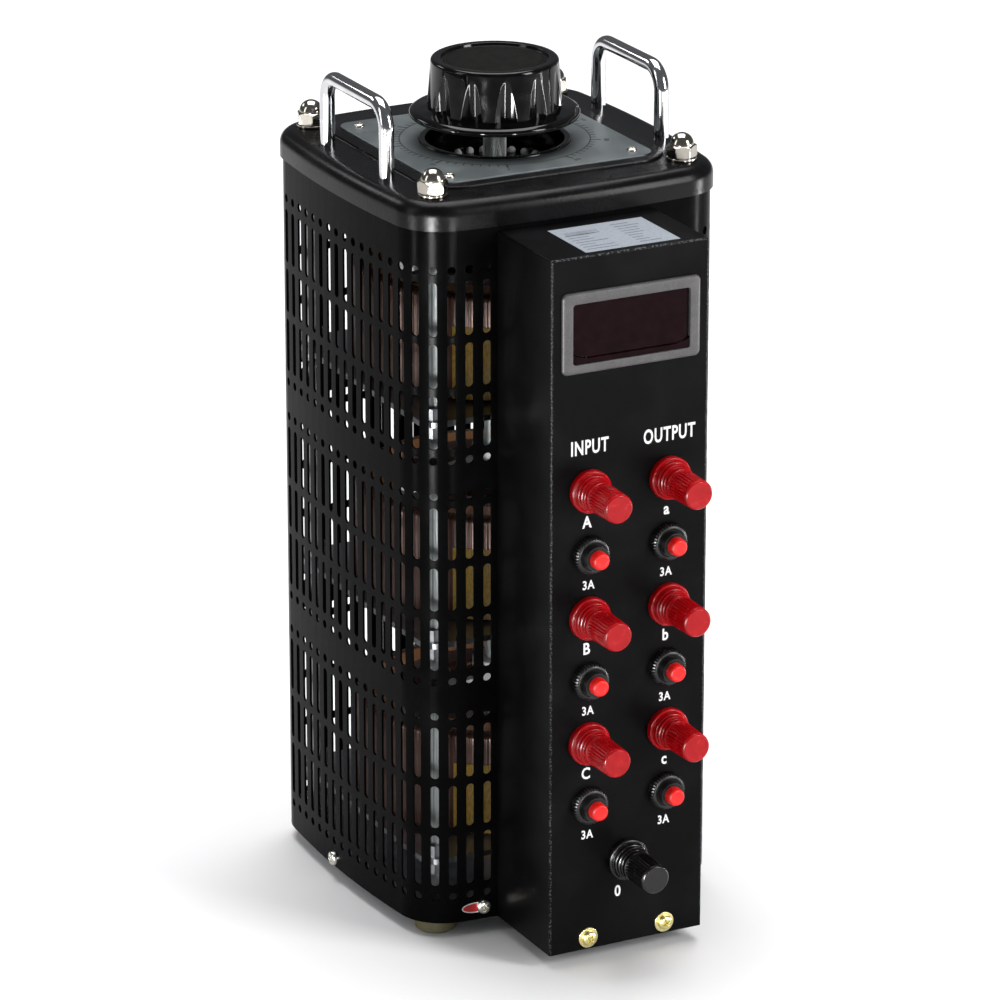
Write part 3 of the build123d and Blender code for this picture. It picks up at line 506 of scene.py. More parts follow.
# %% [markdown]
# ## The meter's two plastics
# The frame is a grained grey with pale specks, so that it doesn't show finger marks. The lens
# is dyed so deep a red that it looks black until digits light behind it.

# %% Meter plastics
def speckled(name, colour, speck, roughness):
    """Grained grey plastic with pale specks and a rubbed sheen."""
    plastic = Recipe(name, {"Specular IOR Level": 0.4})
    grain = plastic.noise(1.6, 5.0)
    specks = plastic.step(grain, 0.54, 0.66)
    cloud = plastic.step(plastic.noise(0.12, 3.0), 0.4, 0.7)
    shade = plastic.mix(specks * 0.5 + cloud * 0.25, colour, speck)
    return plastic.bumped(grain * 0.05, base_color=shade, roughness=roughness + 0.15 * grain)


meter_grey = speckled("meter_bezel", (0.058, 0.054, 0.056), (0.15, 0.145, 0.15), 0.42)
meter_lens = moulded("meter_lens", (0.006, 0.0004, 0.0013), 0.07, 0.0, 0.05, 1.6, 0.05)
announce("meter:", meter_grey, meter_lens)

# %% [markdown]
# ## Copper wire, paper and print
# Each coil is hundreds of turns of enamelled copper. The turns themselves are modelled, so the
# material only has to say that the enamel is amber brown, drifting darker and lighter at random
# and painted far darker overall as painted shade for the dim inside of the wrap, and that the
# brush has rubbed a bright ring on top. The ring is found from the distance to the shaft.

# %% Winding, tape and inks
winding_low, winding_high = box_mm("winding_1")
winding_radius = (winding_high[0] - winding_low[0]) / 2
track_radius = np.hypot(*(middle("carbon_brushes") - shaft_at)[:2])
track_half = 6.0         # the rubbed ring reaches this far to each side


def coil_wire(name):
    """Enamelled copper, painted dark as painted shade for the dim inside of the wrap, with the ring that the
    brush has rubbed bright.
    """
    wire = Recipe(name, {"Metallic": 0.3, "Coat Weight": 0.15, "Coat Roughness": 0.2})
    x = wire.part(0) - shaft_at[0]
    y = wire.part(1) - shaft_at[1]
    out = wire.math("SQRT", x * x + y * y)
    rubbed = 1 - wire.step(wire.math("ABSOLUTE", out - track_radius), track_half, track_half + 1.0)
    drift = wire.noise(0.15, 4.0)
    # Both browns are painted far darker than enamelled copper, as painted shade for the dim inside of the
    # wrap; the drift between them is random.
    enamel_painted_dark = wire.mix(drift, (0.030, 0.006, 0.003), (0.105, 0.030, 0.006))
    shade = wire.mix(rubbed * 0.8, enamel_painted_dark, (0.80, 0.34, 0.12))
    fine = wire.noise(2.0, 4.0)
    return wire.bumped(fine * 0.02, base_color=shade, roughness=0.26 + 0.2 * fine)


def paper(name, colour, dark, roughness=0.7):
    """Fibrous paper or tape, with darker fibres and soft creases."""
    sheet = Recipe(name, {"Specular IOR Level": 0.25})
    fibre = sheet.noise(1.4, 6.0, (1, 1, 0.25))
    crease = sheet.noise(0.2, 3.0)
    shade = sheet.mix(sheet.step(fibre, 0.4, 0.7), colour, dark)
    height = fibre * 0.04 + crease * 0.15
    return sheet.bumped(height, base_color=shade, roughness=roughness + 0.1 * fibre)


winding_wire = coil_wire("winding_wire")
yellow_tape = paper("insulation_paper", (0.66, 0.40, 0.045), (0.40, 0.22, 0.025))
white_ink = paper("legend_ink", (0.97, 0.97, 0.97), (0.86, 0.86, 0.86), 0.5)
black_ink = paper("dial_ink", (0.012, 0.012, 0.013), (0.03, 0.03, 0.03), 0.45)
label_silver = paper("label_silver", (0.30, 0.325, 0.36), (0.22, 0.245, 0.28), 0.38)
label_ink = paper("label_ink", (0.10, 0.11, 0.14), (0.22, 0.23, 0.26), 0.5)
label_red = paper("label_red", (0.62, 0.012, 0.012), (0.48, 0.01, 0.01), 0.35)
announce("coils and print:", winding_wire, yellow_tape, white_ink, black_ink,
         label_silver, label_ink, label_red)


# %% [markdown]
# ## Dial metal
# The dial is satin aluminium. Brushing leaves a grain along one direction, so its noise is
# stretched many times along X. Fingers leave a broad haze, and specks of dirt sit on top.

# %% Dial metal
def dial_finish(name):
    """Satin anodised aluminium: a grain along X, finger haze, and specks of dirt."""
    metal = Recipe(name, {"Metallic": 0.85, "Specular IOR Level": 0.4})
    grain = metal.noise(2.0, 6.0, (0.06, 1, 1))
    haze = metal.step(metal.noise(0.05, 5.0), 0.4, 0.75)
    dirt = metal.step(metal.noise(1.3, 3.0), 0.68, 0.74)
    satin = metal.mix(haze * 0.6, (0.15, 0.170, 0.176), (0.24, 0.262, 0.266))
    shade = metal.mix(dirt * 0.6, satin, (0.10, 0.11, 0.11))
    return metal.bumped(grain * 0.010, base_color=shade, roughness=0.34 + 0.12 * grain + 0.08 * haze)


dial_metal = dial_finish("dial_aluminium")
print("materials made:", len(bpy.data.materials))


# %% [markdown]
# ## Parts that keep their CAD shape
# Sheet, rods, nuts and plates already have the right shape in the frame. They are not rebuilt:
# each gets its finish by swapping the material in its slots.

# %% Finishes for the frame's own parts
cad_finish = {
    "perforated_shell": wrap_paint, "terminal_box": box_paint, "box_floor": box_paint,
    "base_plate": zinc_steel, "rubber_feet": foot_rubber, "tie_rods": rod_steel,
    "rod_nuts": zinc_steel, "handle_nuts": zinc_steel, "shaft": rod_steel, "shaft_bushes": brass,
    "carbon_brushes": carbon, "terminal_studs": brass, "breaker_bodies": part_black,
}
for number in (1, 2, 3):
    cad_finish[f"coil_support_{number}"] = zinc_steel
    cad_finish[f"core_{number}"] = core_strip
    cad_finish[f"brush_arm_{number}"] = arm_alloy
for node, material in cad_finish.items():
    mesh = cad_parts[node].data
    mesh.materials.clear()
    mesh.materials.append(material)
print("finished in place:", len(cad_finish), "nodes")

# %% [markdown]
# ## The pressed cover
# The cover is one sheet: a skirt, a generous rolled edge, a flat, and a slightly raised field for
# the dial. It could be a cube with bevels, but the rolled edge has to stay even round the
# corners. So it is a stack of rounded rectangles that shrink as they climb, with the last one
# morphing into the round hole, and the inside run back the same way to give the sheet thickness.

# %% Cover
cover_low, cover_high = box_mm("top_cover")
flat_z = box_mm("acorn_nuts")[0][2]
plate_low, plate_high = box_mm("dial_plate")
cup_low, cup_high = box_mm("bearing_cup")
cover_half = (cover_high[:2] - cover_low[:2]) / 2
plate_half = (plate_high[:2] - plate_low[:2]) / 2
wrap_corner, wrap_wall, cover_sheet, roll = 25.0, 650.0, 1.2, 7.5
cover_out = cover_half[0] - (shell_high[0] - shell_low[0]) / 2
cover_corner, cover_wall = wrap_corner + cover_out, wrap_wall + cover_out
field_border, field_corner = 7.5, 20.0
hole_radius = (cup_high[0] - cup_low[0]) / 2 - 1.2


def ring_row(half, corner, inset, z, wall=STRAIGHT):
    """A rounded rectangle drawn in by an inset, which takes the same off its two radii."""
    return (half[0] - inset, half[1] - inset, max(corner - inset, 0.5), z, wall - inset)


turn = np.linspace(0, pi / 2, 13)
field_half = plate_half + field_border
inner_roll = roll - cover_sheet
cover_rings = [ring_row(cover_half, cover_corner, 0, cover_low[2], cover_wall)]
cover_rings += [ring_row(cover_half, cover_corner, roll * (1 - cos(a)),
                         flat_z - roll + roll * sin(a), cover_wall) for a in turn]
cover_rings += [ring_row(field_half, field_corner, inset, z) for inset, z in (
    (-0.8, flat_z), (-0.25, flat_z + 0.12), (0, flat_z + 0.4), (0, cover_high[2] - 0.5),
    (0.15, cover_high[2] - 0.15), (0.5, cover_high[2]))]
cover_rings += [ring_row((hole_radius, hole_radius), hole_radius, 0, z)
                for z in (cover_high[2], flat_z - cover_sheet)]
cover_rings += [ring_row(cover_half, cover_corner, cover_sheet + inner_roll * (1 - cos(a)),
                         flat_z - roll + inner_roll * sin(a), cover_wall) for a in turn[::-1]]
cover_rings += [ring_row(cover_half, cover_corner, cover_sheet, cover_low[2], cover_wall)]
cover_middle = (shaft_at[0], shaft_at[1], 0)
make_piece("pressed_cover", [ringed(cover_rings, cover_middle)], "housing", cover_paint,
           closed=(True, True), crease=24, replaces=["top_cover"])

# %% [markdown]
# ## Dial plate
# The dial is a thin square plate with a round hole and rounded corners. It is the cover's trick
# again: rings of points that start as the plate's outline and end as the hole's circle.

# %% Dial plate
plate_corner, ink = 8.0, 0.04
dial_hole = (cup_high[0] - cup_low[0]) / 2 + 0.2
plate_rings = [ring_row(plate_half, plate_corner, inset, z) for inset, z in (
    (0, plate_low[2]), (0, plate_high[2] - 0.15), (0.15, plate_high[2]))]
plate_rings += [ring_row((dial_hole, dial_hole), dial_hole, 0, z) for z in (plate_high[2], plate_low[2])]
make_piece("dial_face", [ringed(plate_rings, cover_middle)], "housing", dial_metal,
           closed=(True, True), replaces=["dial_plate"])

# %% [markdown]
# ## The printed scale
# Ink stands a few hundredths of a millimetre proud, so the circle and the ticks are real, very
# thin pieces. Every eighth tick is longer and bolder. All ticks are the same small box, placed by
# one array of centres and one of directions.

# %% Circle and ticks
scale_radius, tick_count, scale_sweep = 50.0, 65, 320.0
ticks_to_a_figure = 8
scale_start = -90 - (360 - scale_sweep) / 2
tick_angle = np.radians(scale_start - np.linspace(0, scale_sweep, tick_count))
major = np.arange(tick_count) % ticks_to_a_figure == 0
tick_length = np.where(major, 5.6, 3.2)
outward = np.stack([np.cos(tick_angle), np.sin(tick_angle), 0 * tick_angle], -1)
sideways = np.stack([-np.sin(tick_angle), np.cos(tick_angle), 0 * tick_angle], -1)
dial_origin = np.array([shaft_at[0], shaft_at[1], plate_high[2]])
tick_middle = dial_origin + outward * (scale_radius + tick_length / 2)[:, None]
tick_width = np.where(major, 1.15, 0.75)
tick_sizes = np.stack([tick_length, tick_width, np.full(tick_count, ink)], -1)
make_piece("scale_ticks", list(bars(tick_middle, outward, sideways, (0, 0, 1), tick_sizes)),
           "housing", black_ink, closed=(True, False))
line = 0.3
ring_radius = np.array([scale_radius - line, scale_radius + line, scale_radius + line, scale_radius - line])
ring_height = np.array([0, 0, ink, ink])
make_piece("scale_circle", [turned(ring_radius, ring_height, dial_origin, count=240)],
           "housing", black_ink, closed=(True, True))


# %% [markdown]
# ## Lettering
# Printed words are made from Blender's own text, turned into a mesh at once. Its points are then
# scaled to a wanted height, squeezed a little to the narrow style of panel print, and moved into
# place as one array. The letters are a little thick, as ink is, so they have sides to catch light.

# %% Text as an array of points
def letter_mesh(words, thickness):
    """Points and faces of a text that is one unit high, with a given thickness in the same unit."""
    curve = bpy.data.curves.new("lettering", "FONT")
    curve.body = words
    curve.align_x, curve.align_y = "CENTER", "BOTTOM_BASELINE"
    curve.extrude = thickness / 2
    curve.offset = 0.024                 # makes the strokes bolder
    curve.space_character = 1.12
    curve.resolution_u = 3
    holder = bpy.data.objects.new("lettering", curve)
    mesh = bpy.data.meshes.new_from_object(holder)
    points = np.empty(len(mesh.vertices) * 3)
    mesh.vertices.foreach_get("co", points)
    faces = [tuple(face.vertices) for face in mesh.polygons]
    bpy.data.objects.remove(holder)
    bpy.data.curves.remove(curve)
    bpy.data.meshes.remove(mesh)
    return points.reshape(-1, 3), faces


capital = letter_mesh("H", 0)[0]
capital_height = capital[:, 1].max() - capital[:, 1].min()
print("a capital is", round(float(capital_height), 3), "of the font's size")


def lettering(name, legends, material):
    """Joins legends into one piece. Each is (words, origin, axes, capital height, squeeze)."""
    points, faces, start = [], [], 0
    for words, origin, axes, height, squeeze in legends:
        size = height / capital_height
        local, cells = letter_mesh(words, ink / size)
        local = local * size * np.array([squeeze, 1, 1])
        points.append(np.asarray(origin) + local @ axes)
        faces += [tuple(start + np.array(cell)) for cell in cells]
        start += len(local)
    mesh = bpy.data.meshes.new(name)
    mesh.from_pydata((np.vstack(points) * MM).tolist(), [], [tuple(int(v) for v in cell) for cell in faces])
    return finish_piece(name, mesh, "housing", material)


# %% [markdown]
# ## Figures on the dial
# The figures give the output voltage and stand with their feet towards the shaft. Each one gets
# its own axes: up is the direction away from the shaft, and right is square to it.

# %% Figures on the dial
figure_radius, figure_height, figures_to = 58.6, 2.6, 430
major_angle = tick_angle[::ticks_to_a_figure]
major_value = np.linspace(0, figures_to, len(major_angle)).round(-1).astype(int)
dial_legends = []
for angle, value in zip(major_angle, major_value):
    out = np.array([cos(angle), sin(angle), 0])
    axes = np.array([np.cross(out, UPRIGHT[2]), out, UPRIGHT[2]])
    base = dial_origin + out * (figure_radius - figure_height / 2) + np.array([0, 0, ink / 2])
    dial_legends.append((str(value), base, axes, figure_height, 0.8))
lettering("scale_figures", dial_legends, black_ink)


# %% [markdown]
# ## Cross-head screws
# A pan head is a low dome with a cross driven into it. Both are one height field over a disc: the
# dome's height at each distance from the middle, minus a recess that is deep where a point is
# near either arm of the cross. Walls come down to the seat at the rim.

# %% Pan head
arm_half, arm_slope, arm_end, recess_depth = 0.13, 0.06, 0.12, 0.55       # shares of the head


def pan_head(radius, height, seat, axes, spin=0.4, cross=0.55, sides=96, rings=30):
    """A dome, height times (1 - (distance/radius)^3)^(1/3), less a cross recess whose depth
    falls off smoothly away from two crossing arms."""
    share = np.linspace(0, 1, rings) ** 0.8
    angle = around(sides)
    x, y = (share * f(angle + spin) for f in (np.cos, np.sin))
    dome = (1 - share ** 3) ** (1 / 3) * height * np.ones_like(x)
    arm = np.minimum(np.abs(x), np.abs(y))
    recess = np.clip((arm_half - arm) / arm_slope, 0, 1) * np.clip((cross - share) / arm_end, 0, 1)
    dome = dome - recess_depth * height * recess
    out = share * radius
    local = np.stack([out * np.cos(angle) * np.ones_like(x), out * np.sin(angle), dome], -1)
    return np.asarray(seat) + local @ axes


dial_screw_low, dial_screw_high = box_mm("dial_screws")
small_head = 2.9
small_height = dial_screw_high[2] - plate_high[2]
dial_seats = [(x, y, plate_high[2])
              for x in (dial_screw_low[0] + small_head, dial_screw_high[0] - small_head)
              for y in (dial_screw_low[1] + small_head, dial_screw_high[1] - small_head)]
small_heads = [pan_head(small_head, small_height, seat, UPRIGHT, spin=0.5 * i)
               for i, seat in enumerate(dial_seats)]
make_piece("dial_screw_heads", small_heads, "housing", pale_nickel, crease=40,
           replaces=["dial_screws"])

# %% [markdown]
# ## Screws on the walls
# The same head is used again on the wrap and on the box. The wrap's walls bow, so a screw away
# from the middle of its wall sits a little further in, and is turned to stand square to the wall
# there. The turn of each cross is different, because nobody lines screws up.

# %% Case screws and the two screws of the box
def wall_seat(place, axis, limit, axes):
    """Moves a place onto the wrap's bowed wall, and turns its axes to stand square to the wall:
    at a distance s from the wall's middle it falls back by R - sqrt(R^2 - s^2) and turns by
    asin(s / R)."""
    out = axes[2]
    aside = float(np.dot(place - shaft_at, np.cross((0, 0, 1), out)))
    spin = asin(aside / wrap_wall)
    spun = axes @ np.array([[cos(spin), sin(spin), 0], [-sin(spin), cos(spin), 0], [0, 0, 1.0]])
    seat = place.copy()
    seat[axis] = limit
    return seat - out * (wrap_wall - sqrt(wrap_wall ** 2 - aside ** 2)), spun


case_high = box_mm("case_screws")[1]
head_radius, head_height = 4.0, case_high[0] - shell_high[0]
case_heads = []
for axis, limit, side, axes in ((0, shell_low[0], -1, OUT_OF_LEFT), (0, shell_high[0], 1, OUT_OF_RIGHT),
                                (1, shell_high[1], 1, OUT_OF_BACK), (1, shell_low[1], -1, OUT_OF_FRONT)):
    seat, square = wall_seat(heads("case_screws", axis, limit, side), axis, limit, axes)
    case_heads.append(pan_head(head_radius, head_height, seat, square, spin=0.3 + axis + side))
make_piece("case_screw_heads", case_heads, "housing", pale_nickel, crease=40,
           replaces=["case_screws"])
earth_screw_at = heads("case_screws", 1, shell_low[1], -1)

box_screw_low, box_screw_high = box_mm("box_screws")
washer_radius, washer_height = 5.5, 1.0
screw_seats = [(x, panel_y, (box_screw_low[2] + box_screw_high[2]) / 2)
               for x in (box_screw_low[0] + washer_radius, box_screw_high[0] - washer_radius)]
washer_bore = 3.2
washer_profile = rounded([(washer_bore, 0), (washer_radius, 0), (washer_radius, washer_height),
                          (washer_bore, washer_height)], 0.3)
gold_height = panel_y - box_screw_low[1] - washer_height
gold_seats = [np.array(seat) - (0, washer_height, 0) for seat in screw_seats]
gold_heads = [pan_head(head_radius, gold_height, seat, OUT_OF_FRONT, spin=spin)
              for seat, spin in zip(gold_seats, (0.7, 1.1))]
make_piece("box_screw_heads", gold_heads, "housing", gold_zinc, crease=40,
           replaces=["box_screws"])
make_piece("box_screw_washers", [turned(*washer_profile, seat, OUT_OF_FRONT, 64) for seat in screw_seats],
           "housing", gold_zinc, closed=(True, True))


# %% [markdown]
# ## Acorn nuts
# An acorn nut is a hexagon below and a ball above, and what makes it look real is the chamfer
# that rounds the hexagon's corners top and bottom. In polar form a hexagon's radius is the
# half-width over the cosine of the angle from the nearest flat. The chamfer is a cone, and the
# nut is wherever both hold: the smaller of the two radii.

# %% Acorn nuts and washers
rod_low, rod_high = box_mm("tie_rods")
rod_radius = 4.0
nut_places = [(x, y) for x in (rod_low[0] + rod_radius, rod_high[0] - rod_radius)
              for y in (rod_low[1] + rod_radius, rod_high[1] - rod_radius)]
nut_washer, nut_hex, nut_flat, dome = 1.6, 6.5, 7.0, 6.3


def acorn(seat, spin):
    """Hexagon, chamfer cones and dome, as one radius for each angle and height."""
    angle = around(144)
    from_flat = np.mod(angle + spin, pi / 3) - pi / 6
    hexagon = nut_flat / np.cos(from_flat)
    edge = np.linspace(0, 0.75, 7)
    side = np.concatenate([edge, nut_hex - edge[::-1]])
    cone = nut_flat - 0.15 + 1.75 * np.minimum(side, nut_hex - side)
    hex_rows = np.minimum(hexagon, cone)
    climb = np.linspace(0, pi / 2, 16)
    dome_rows = dome * np.cos(climb) * np.ones_like(angle)
    radius = np.hstack([0 * angle, hex_rows, dome_rows])
    height = np.concatenate([[0], side, nut_hex + dome * np.sin(climb)])
    return turned(radius, height, seat, count=144)


nut_washer_profile = rounded([(4.4, 0), (7.9, 0), (7.9, nut_washer), (4.4, nut_washer)], 0.35)
make_piece("acorn_nut_set", [acorn((x, y, flat_z + nut_washer), 0.25 + 0.6 * i)
                             for i, (x, y) in enumerate(nut_places)],
           "housing", warm_nickel, crease=28, replaces=["acorn_nuts"])
make_piece("acorn_washers", [turned(*nut_washer_profile, (x, y, flat_z), count=72) for x, y in nut_places],
           "housing", warm_nickel, closed=(True, True))

# %% [markdown]
# ## Carrying handles
# Each handle is an 8 mm chromed rod bent twice. A curve with a bevel would do, but a circle
# carried along a worked-out path keeps its seam out of sight and its ends closed. The path is
# a leg, a quarter circle, the grip, a quarter circle and a leg.

# %% Handles
bend_radius = 12.0
for node in ("handle_left", "handle_right"):
    low, high = box_mm(node)
    radius = (high[0] - low[0]) / 2
    x, top = (low[0] + high[0]) / 2, high[2] - radius
    ends = np.array([low[1] + radius, high[1] - radius])
    quarter = np.linspace(0, pi / 2, 22)
    front_bend = np.stack([0 * quarter + x, ends[0] + bend_radius * (1 - np.cos(quarter)),
                           top - bend_radius * (1 - np.sin(quarter))], -1)
    back_bend = np.stack([0 * quarter + x, ends[1] - bend_radius * (1 - np.sin(quarter)),
                          top - bend_radius * (1 - np.cos(quarter))], -1)
    foot = np.array([[x, ends[0], low[2]]])
    path = np.vstack([foot, front_bend, back_bend, foot + (0, ends[1] - ends[0], 0)])
    make_piece(f"{node}_rod", [tube(path, radius, (1, 0, 0)).transpose(1, 0, 2)[:, ::-1]], "housing",
               chrome, closed=(False, True), crease=50, replaces=[node])

# %% [markdown]
# ## Bearing cup
# Under the knob a black cup sinks into the cover. Its lip is rolled, which catches one bright
# line of light, and pale balls of a thrust ring sit in a circle on its floor. Their near-white is
# painted light: it is set high so that they stay pale in the shade under the knob.

# %% Cup and balls
cup_lip, cup_wall, cup_well, floor_rise = 39.8, 38.3, 36.5, 2.0
cup_z = {"low": cup_low[2], "high": cup_high[2], "floor": cup_low[2] + floor_rise}
bush_radius = (box_mm("shaft_bushes")[1][0] - box_mm("shaft_bushes")[0][0]) / 2 - 3.0
lip_under = cup_high[2] - 1.5
cup_profile = rounded([
    (bush_radius, cup_z["low"]), (cup_wall, cup_z["low"]), (cup_wall, lip_under), (cup_lip, lip_under),
    (cup_lip, cup_z["high"]), (cup_well, cup_z["high"]), (cup_well, cup_z["floor"]),
    (bush_radius, cup_z["floor"])], 0.7, 6)
make_piece("bearing_well", [turned(*cup_profile, (shaft_at[0], shaft_at[1], 0), count=240)],
           "housing", knob_black, closed=(True, True), replaces=["bearing_cup"])
ball_circle, ball_count, ball_radius = 29.0, 24, 2.2
climb = np.linspace(-pi / 2, pi / 2, 9)
ball_angles = np.linspace(0, 2 * pi, ball_count, endpoint=False)
make_piece("thrust_balls", [turned(ball_radius * np.cos(climb), ball_radius * np.sin(climb), (
    shaft_at[0] + ball_circle * cos(a), shaft_at[1] + ball_circle * sin(a), cup_z["floor"] + 0.8), count=14)
    for a in ball_angles], "housing", ball_painted_pale)

# %% [markdown]
# ## The knob
# The knob is a tapered drum on a saucer. Twelve scallops are scooped out of its side. Each starts
# as a point high up and widens downwards, which is what a slanted cutter leaves. So a scoop is a
# parabola across the angle whose depth grows with the distance below its tip. The drum's radius
# is the smaller of the plain taper and the nearest scoop, which makes the scallops' rims crisp.

# %% Knob
knob_low, knob_high = box_mm("knob")
knob_at = (shaft_at[0], shaft_at[1], knob_low[2])
knob_height = knob_high[2] - knob_low[2]
saucer, saucer_height = (knob_high[0] - knob_low[0]) / 2, 4.5
drum_foot, drum_top, rim_width, rim_round, disc_sink = 35.4, 33.5, 3.4, 1.8, 1.6
scoop_count, scoop_depth, scoop_half, scoop_tip = 12, 2.5, 6.2, 22.0


def drum_radius(angle, height):
    """The taper, cut back by the nearest scoop."""
    climb = (height - saucer_height) / (knob_height - saucer_height)
    taper = drum_foot + (drum_top - drum_foot) * climb
    depth = scoop_depth * np.clip((scoop_tip + saucer_height - height) / scoop_tip, 0, 1) ** 0.85
    pitch = 2 * pi / scoop_count
    aside = (np.mod(angle + pitch / 2, pitch) - pitch / 2) * drum_foot
    scoop = taper - depth + scoop_depth * (aside / scoop_half) ** 2
    return np.minimum(taper, scoop)


knob_count = 960
angle = around(knob_count)
drum_rows = np.concatenate([[saucer_height + 0.9],
                            np.linspace(saucer_height + 1.4, knob_height - rim_round, 44)])
drum = drum_radius(angle - radians(103), drum_rows)
ease = np.linspace(0, pi / 2, 8)[1:]
edge_radius = drum[:, -1:] - rim_round * (1 - np.cos(ease))
edge_height = knob_height - rim_round * (1 - np.sin(ease))
saucer_profile = rounded([(6.2, 0), (saucer - 1.0, 0), (saucer, 0.9), (saucer, saucer_height - 1.6),
                          (saucer - 2.2, saucer_height - 0.2),
                          (drum_foot + 1.2, saucer_height + 0.5)], 1.0, 6)
rim_inner = drum_top - rim_round - rim_width
disc_floor = knob_height - disc_sink
top_profile = rounded([(drum_top - 2.6, knob_height), (rim_inner, knob_height),
                       (rim_inner - 0.5, disc_floor), (rim_inner - 1.6, disc_floor)], 0.4, 5)
ones = np.ones_like(angle)
knob_radius = np.hstack([saucer_profile[0] * ones, drum, edge_radius, top_profile[0] * ones, 0 * ones])
knob_rise = np.concatenate([saucer_profile[1], drum_rows, edge_height, top_profile[1], [disc_floor]])
make_piece("fluted_knob", [turned(knob_radius, knob_rise, knob_at, count=knob_count)], "rotor",
           knob_black, crease=26, replaces=["knob"])
disc_radius = rim_inner - 1.4
disc_profile = rounded([(0, 0.02), (disc_radius, 0.02), (disc_radius, 0.55), (disc_radius - 1.1, 0.55),
                        (disc_radius - 1.5, 0.25), (disc_radius - 2.0, 0.6), (0, 0.75)], 0.3, 4)
disc_at = (shaft_at[0], shaft_at[1], knob_high[2] - disc_sink)
make_piece("knob_disc", [turned(*disc_profile, disc_at, count=200)], "rotor", disc_black)


# %% [markdown]
# ## Knurled sleeve
# Between cup and knob the shaft wears a knurled sleeve. Knurling is two sets of slanted grooves
# that cross. A triangle wave in angle plus height, and one in angle minus height, each give one
# set, and the lower of the two leaves the diamonds.

# %% Knurl
def wave(x):
    """A triangle wave from 0 to 1 with period 1."""
    return 1 - np.abs(2 * np.mod(x, 1) - 1)


sleeve_radius, sleeve_bore, knurl_depth, knurl_teeth = 6.3, 5.6, 0.45, 30
sleeve_low, sleeve_high = box_mm("shaft_bushes")[1][2] + 0.3, knob_low[2] - 0.1
rows = np.linspace(sleeve_low, sleeve_high, 120)
angle = around(360)
around_share = angle / (2 * pi) * knurl_teeth
climb_share = (rows - sleeve_low) / (2 * pi * sleeve_radius) * knurl_teeth
diamonds = np.minimum(wave(around_share + climb_share), wave(around_share - climb_share))
sleeve = sleeve_radius - knurl_depth * (1 - diamonds)
sleeve = np.hstack([0 * angle + sleeve_bore, sleeve, 0 * angle + sleeve_bore])
sleeve_rows = np.concatenate([rows[:1], rows, rows[-1:]])
make_piece("knurled_sleeve", [turned(sleeve, sleeve_rows, (shaft_at[0], shaft_at[1], 0), count=360)],
           "rotor", rod_steel, crease=20)

# %% [markdown]
# ## Binding posts
# A post is three mouldings on a stud: a base with stepped rings that stays on the panel, a clamp
# collar that slides, and a ribbed cap that screws. They are separate pieces because each rides
# on its own body of the frame. Each is a turned profile with eased corners, and only the cap
# needs its radius to change with the angle, for its ribs.

# %% Bases
phases = [f"{kind}_{letter}" for kind in ("input", "output") for letter in "abc"]
posts = phases + ["neutral"]
post_at = {name: middle(f"terminal_cap_{name}") for name in posts}
for name in posts:
    post_at[name][1] = panel_y
base_profile = rounded([(3.05, 0), (11.45, 0), (11.45, 3.1), (10.9, 3.7), (10.35, 3.7),
                        (10.35, 4.5), (10.0, 4.9), (10.0, 6.2), (9.7, 6.75), (9.2, 7.0),
                        (3.05, 7.0)], 0.3, 4)
for piece_name, members, slot, material, node in (
        ("post_bases_red", phases, "terminal_red", terminal_red, "terminal_bases"),
        ("post_base_black", ["neutral"], "terminal_black", terminal_black, "neutral_base")):
    make_piece(piece_name, [turned(*base_profile, post_at[m], OUT_OF_FRONT, 96) for m in members],
               "housing", material, closed=(True, True), replaces=[node])

# %% [markdown]
# ## Collars and ribbed caps
# Unscrewing a cap lets its collar slide out and free a wire. A cap has 32 fine ribs for the
# fingers: its radius falls and rises with the cosine of 32 times the angle. The ribs fade out
# before each end, as they do on a moulded cap.

# %% Collars and caps
rib_count, rib_depth, rib_fade = 32, 0.45, 0.8
cap_radius, cap_taper = 8.2, 0.35
for name in posts:
    slot = "terminal_black" if name == "neutral" else "terminal_red"
    material = terminal_black if name == "neutral" else terminal_red
    low, high = box_mm(f"clamp_collar_{name}")
    start, length = panel_y - high[1], high[1] - low[1]
    collar_profile = rounded([(3.1, start), (9.4, start), (9.4, start + 1.7), (8.7, start + 2.2),
                              (8.6, start + length - 0.4), (8.2, start + length),
                              (3.1, start + length)], 0.3, 4)
    make_piece(f"collar_{name}", [turned(*collar_profile, post_at[name], OUT_OF_FRONT, 96)],
               f"clamp_{name}", material, closed=(True, True), replaces=[f"clamp_collar_{name}"])
    low, high = box_mm(f"terminal_cap_{name}")
    start, length = panel_y - high[1], high[1] - low[1]
    plain = rounded([(0, 0), (8.45, 0), (8.45, 2.4), (8.0, 3.0), (7.95, 3.6)], 0.35, 4)
    ribs_from, ribs_to = 4.0, length - 1.6
    ribbed_rows = np.linspace(ribs_from, ribs_to, 20)
    ribbed_taper = cap_radius - cap_taper * (ribbed_rows - ribs_from) / (ribs_to - ribs_from)
    angle = around(320)
    from_end = np.minimum(ribbed_rows - ribs_from, ribs_to - ribbed_rows)
    fade = np.clip(from_end / rib_fade, 0, 1)
    ribs = ribbed_taper - rib_depth * fade * (0.5 + 0.5 * np.cos(rib_count * angle)) ** 0.7
    end = rounded([(7.8, length - 1.5), (7.8, length - 0.9), (7.0, length), (6.2, length - 0.12),
                   (0, length - 0.12)], 0.4, 5)
    radius = np.hstack([plain[0] * np.ones_like(angle), ribs, end[0] * np.ones_like(angle)])
    height = start + np.concatenate([plain[1], ribbed_rows, end[1]])
    make_piece(f"ribbed_cap_{name}", [turned(radius, height, post_at[name], OUT_OF_FRONT, 320)],
               f"cap_{name}", material, crease=40, replaces=[f"terminal_cap_{name}"])

# %% [markdown]
# ## Circuit breakers
# A thermal breaker shows a black ring nut with fine teeth, a plain neck and a red button. The
# teeth are the same idea as the cap's ribs, only cut off square, by clipping the cosine.

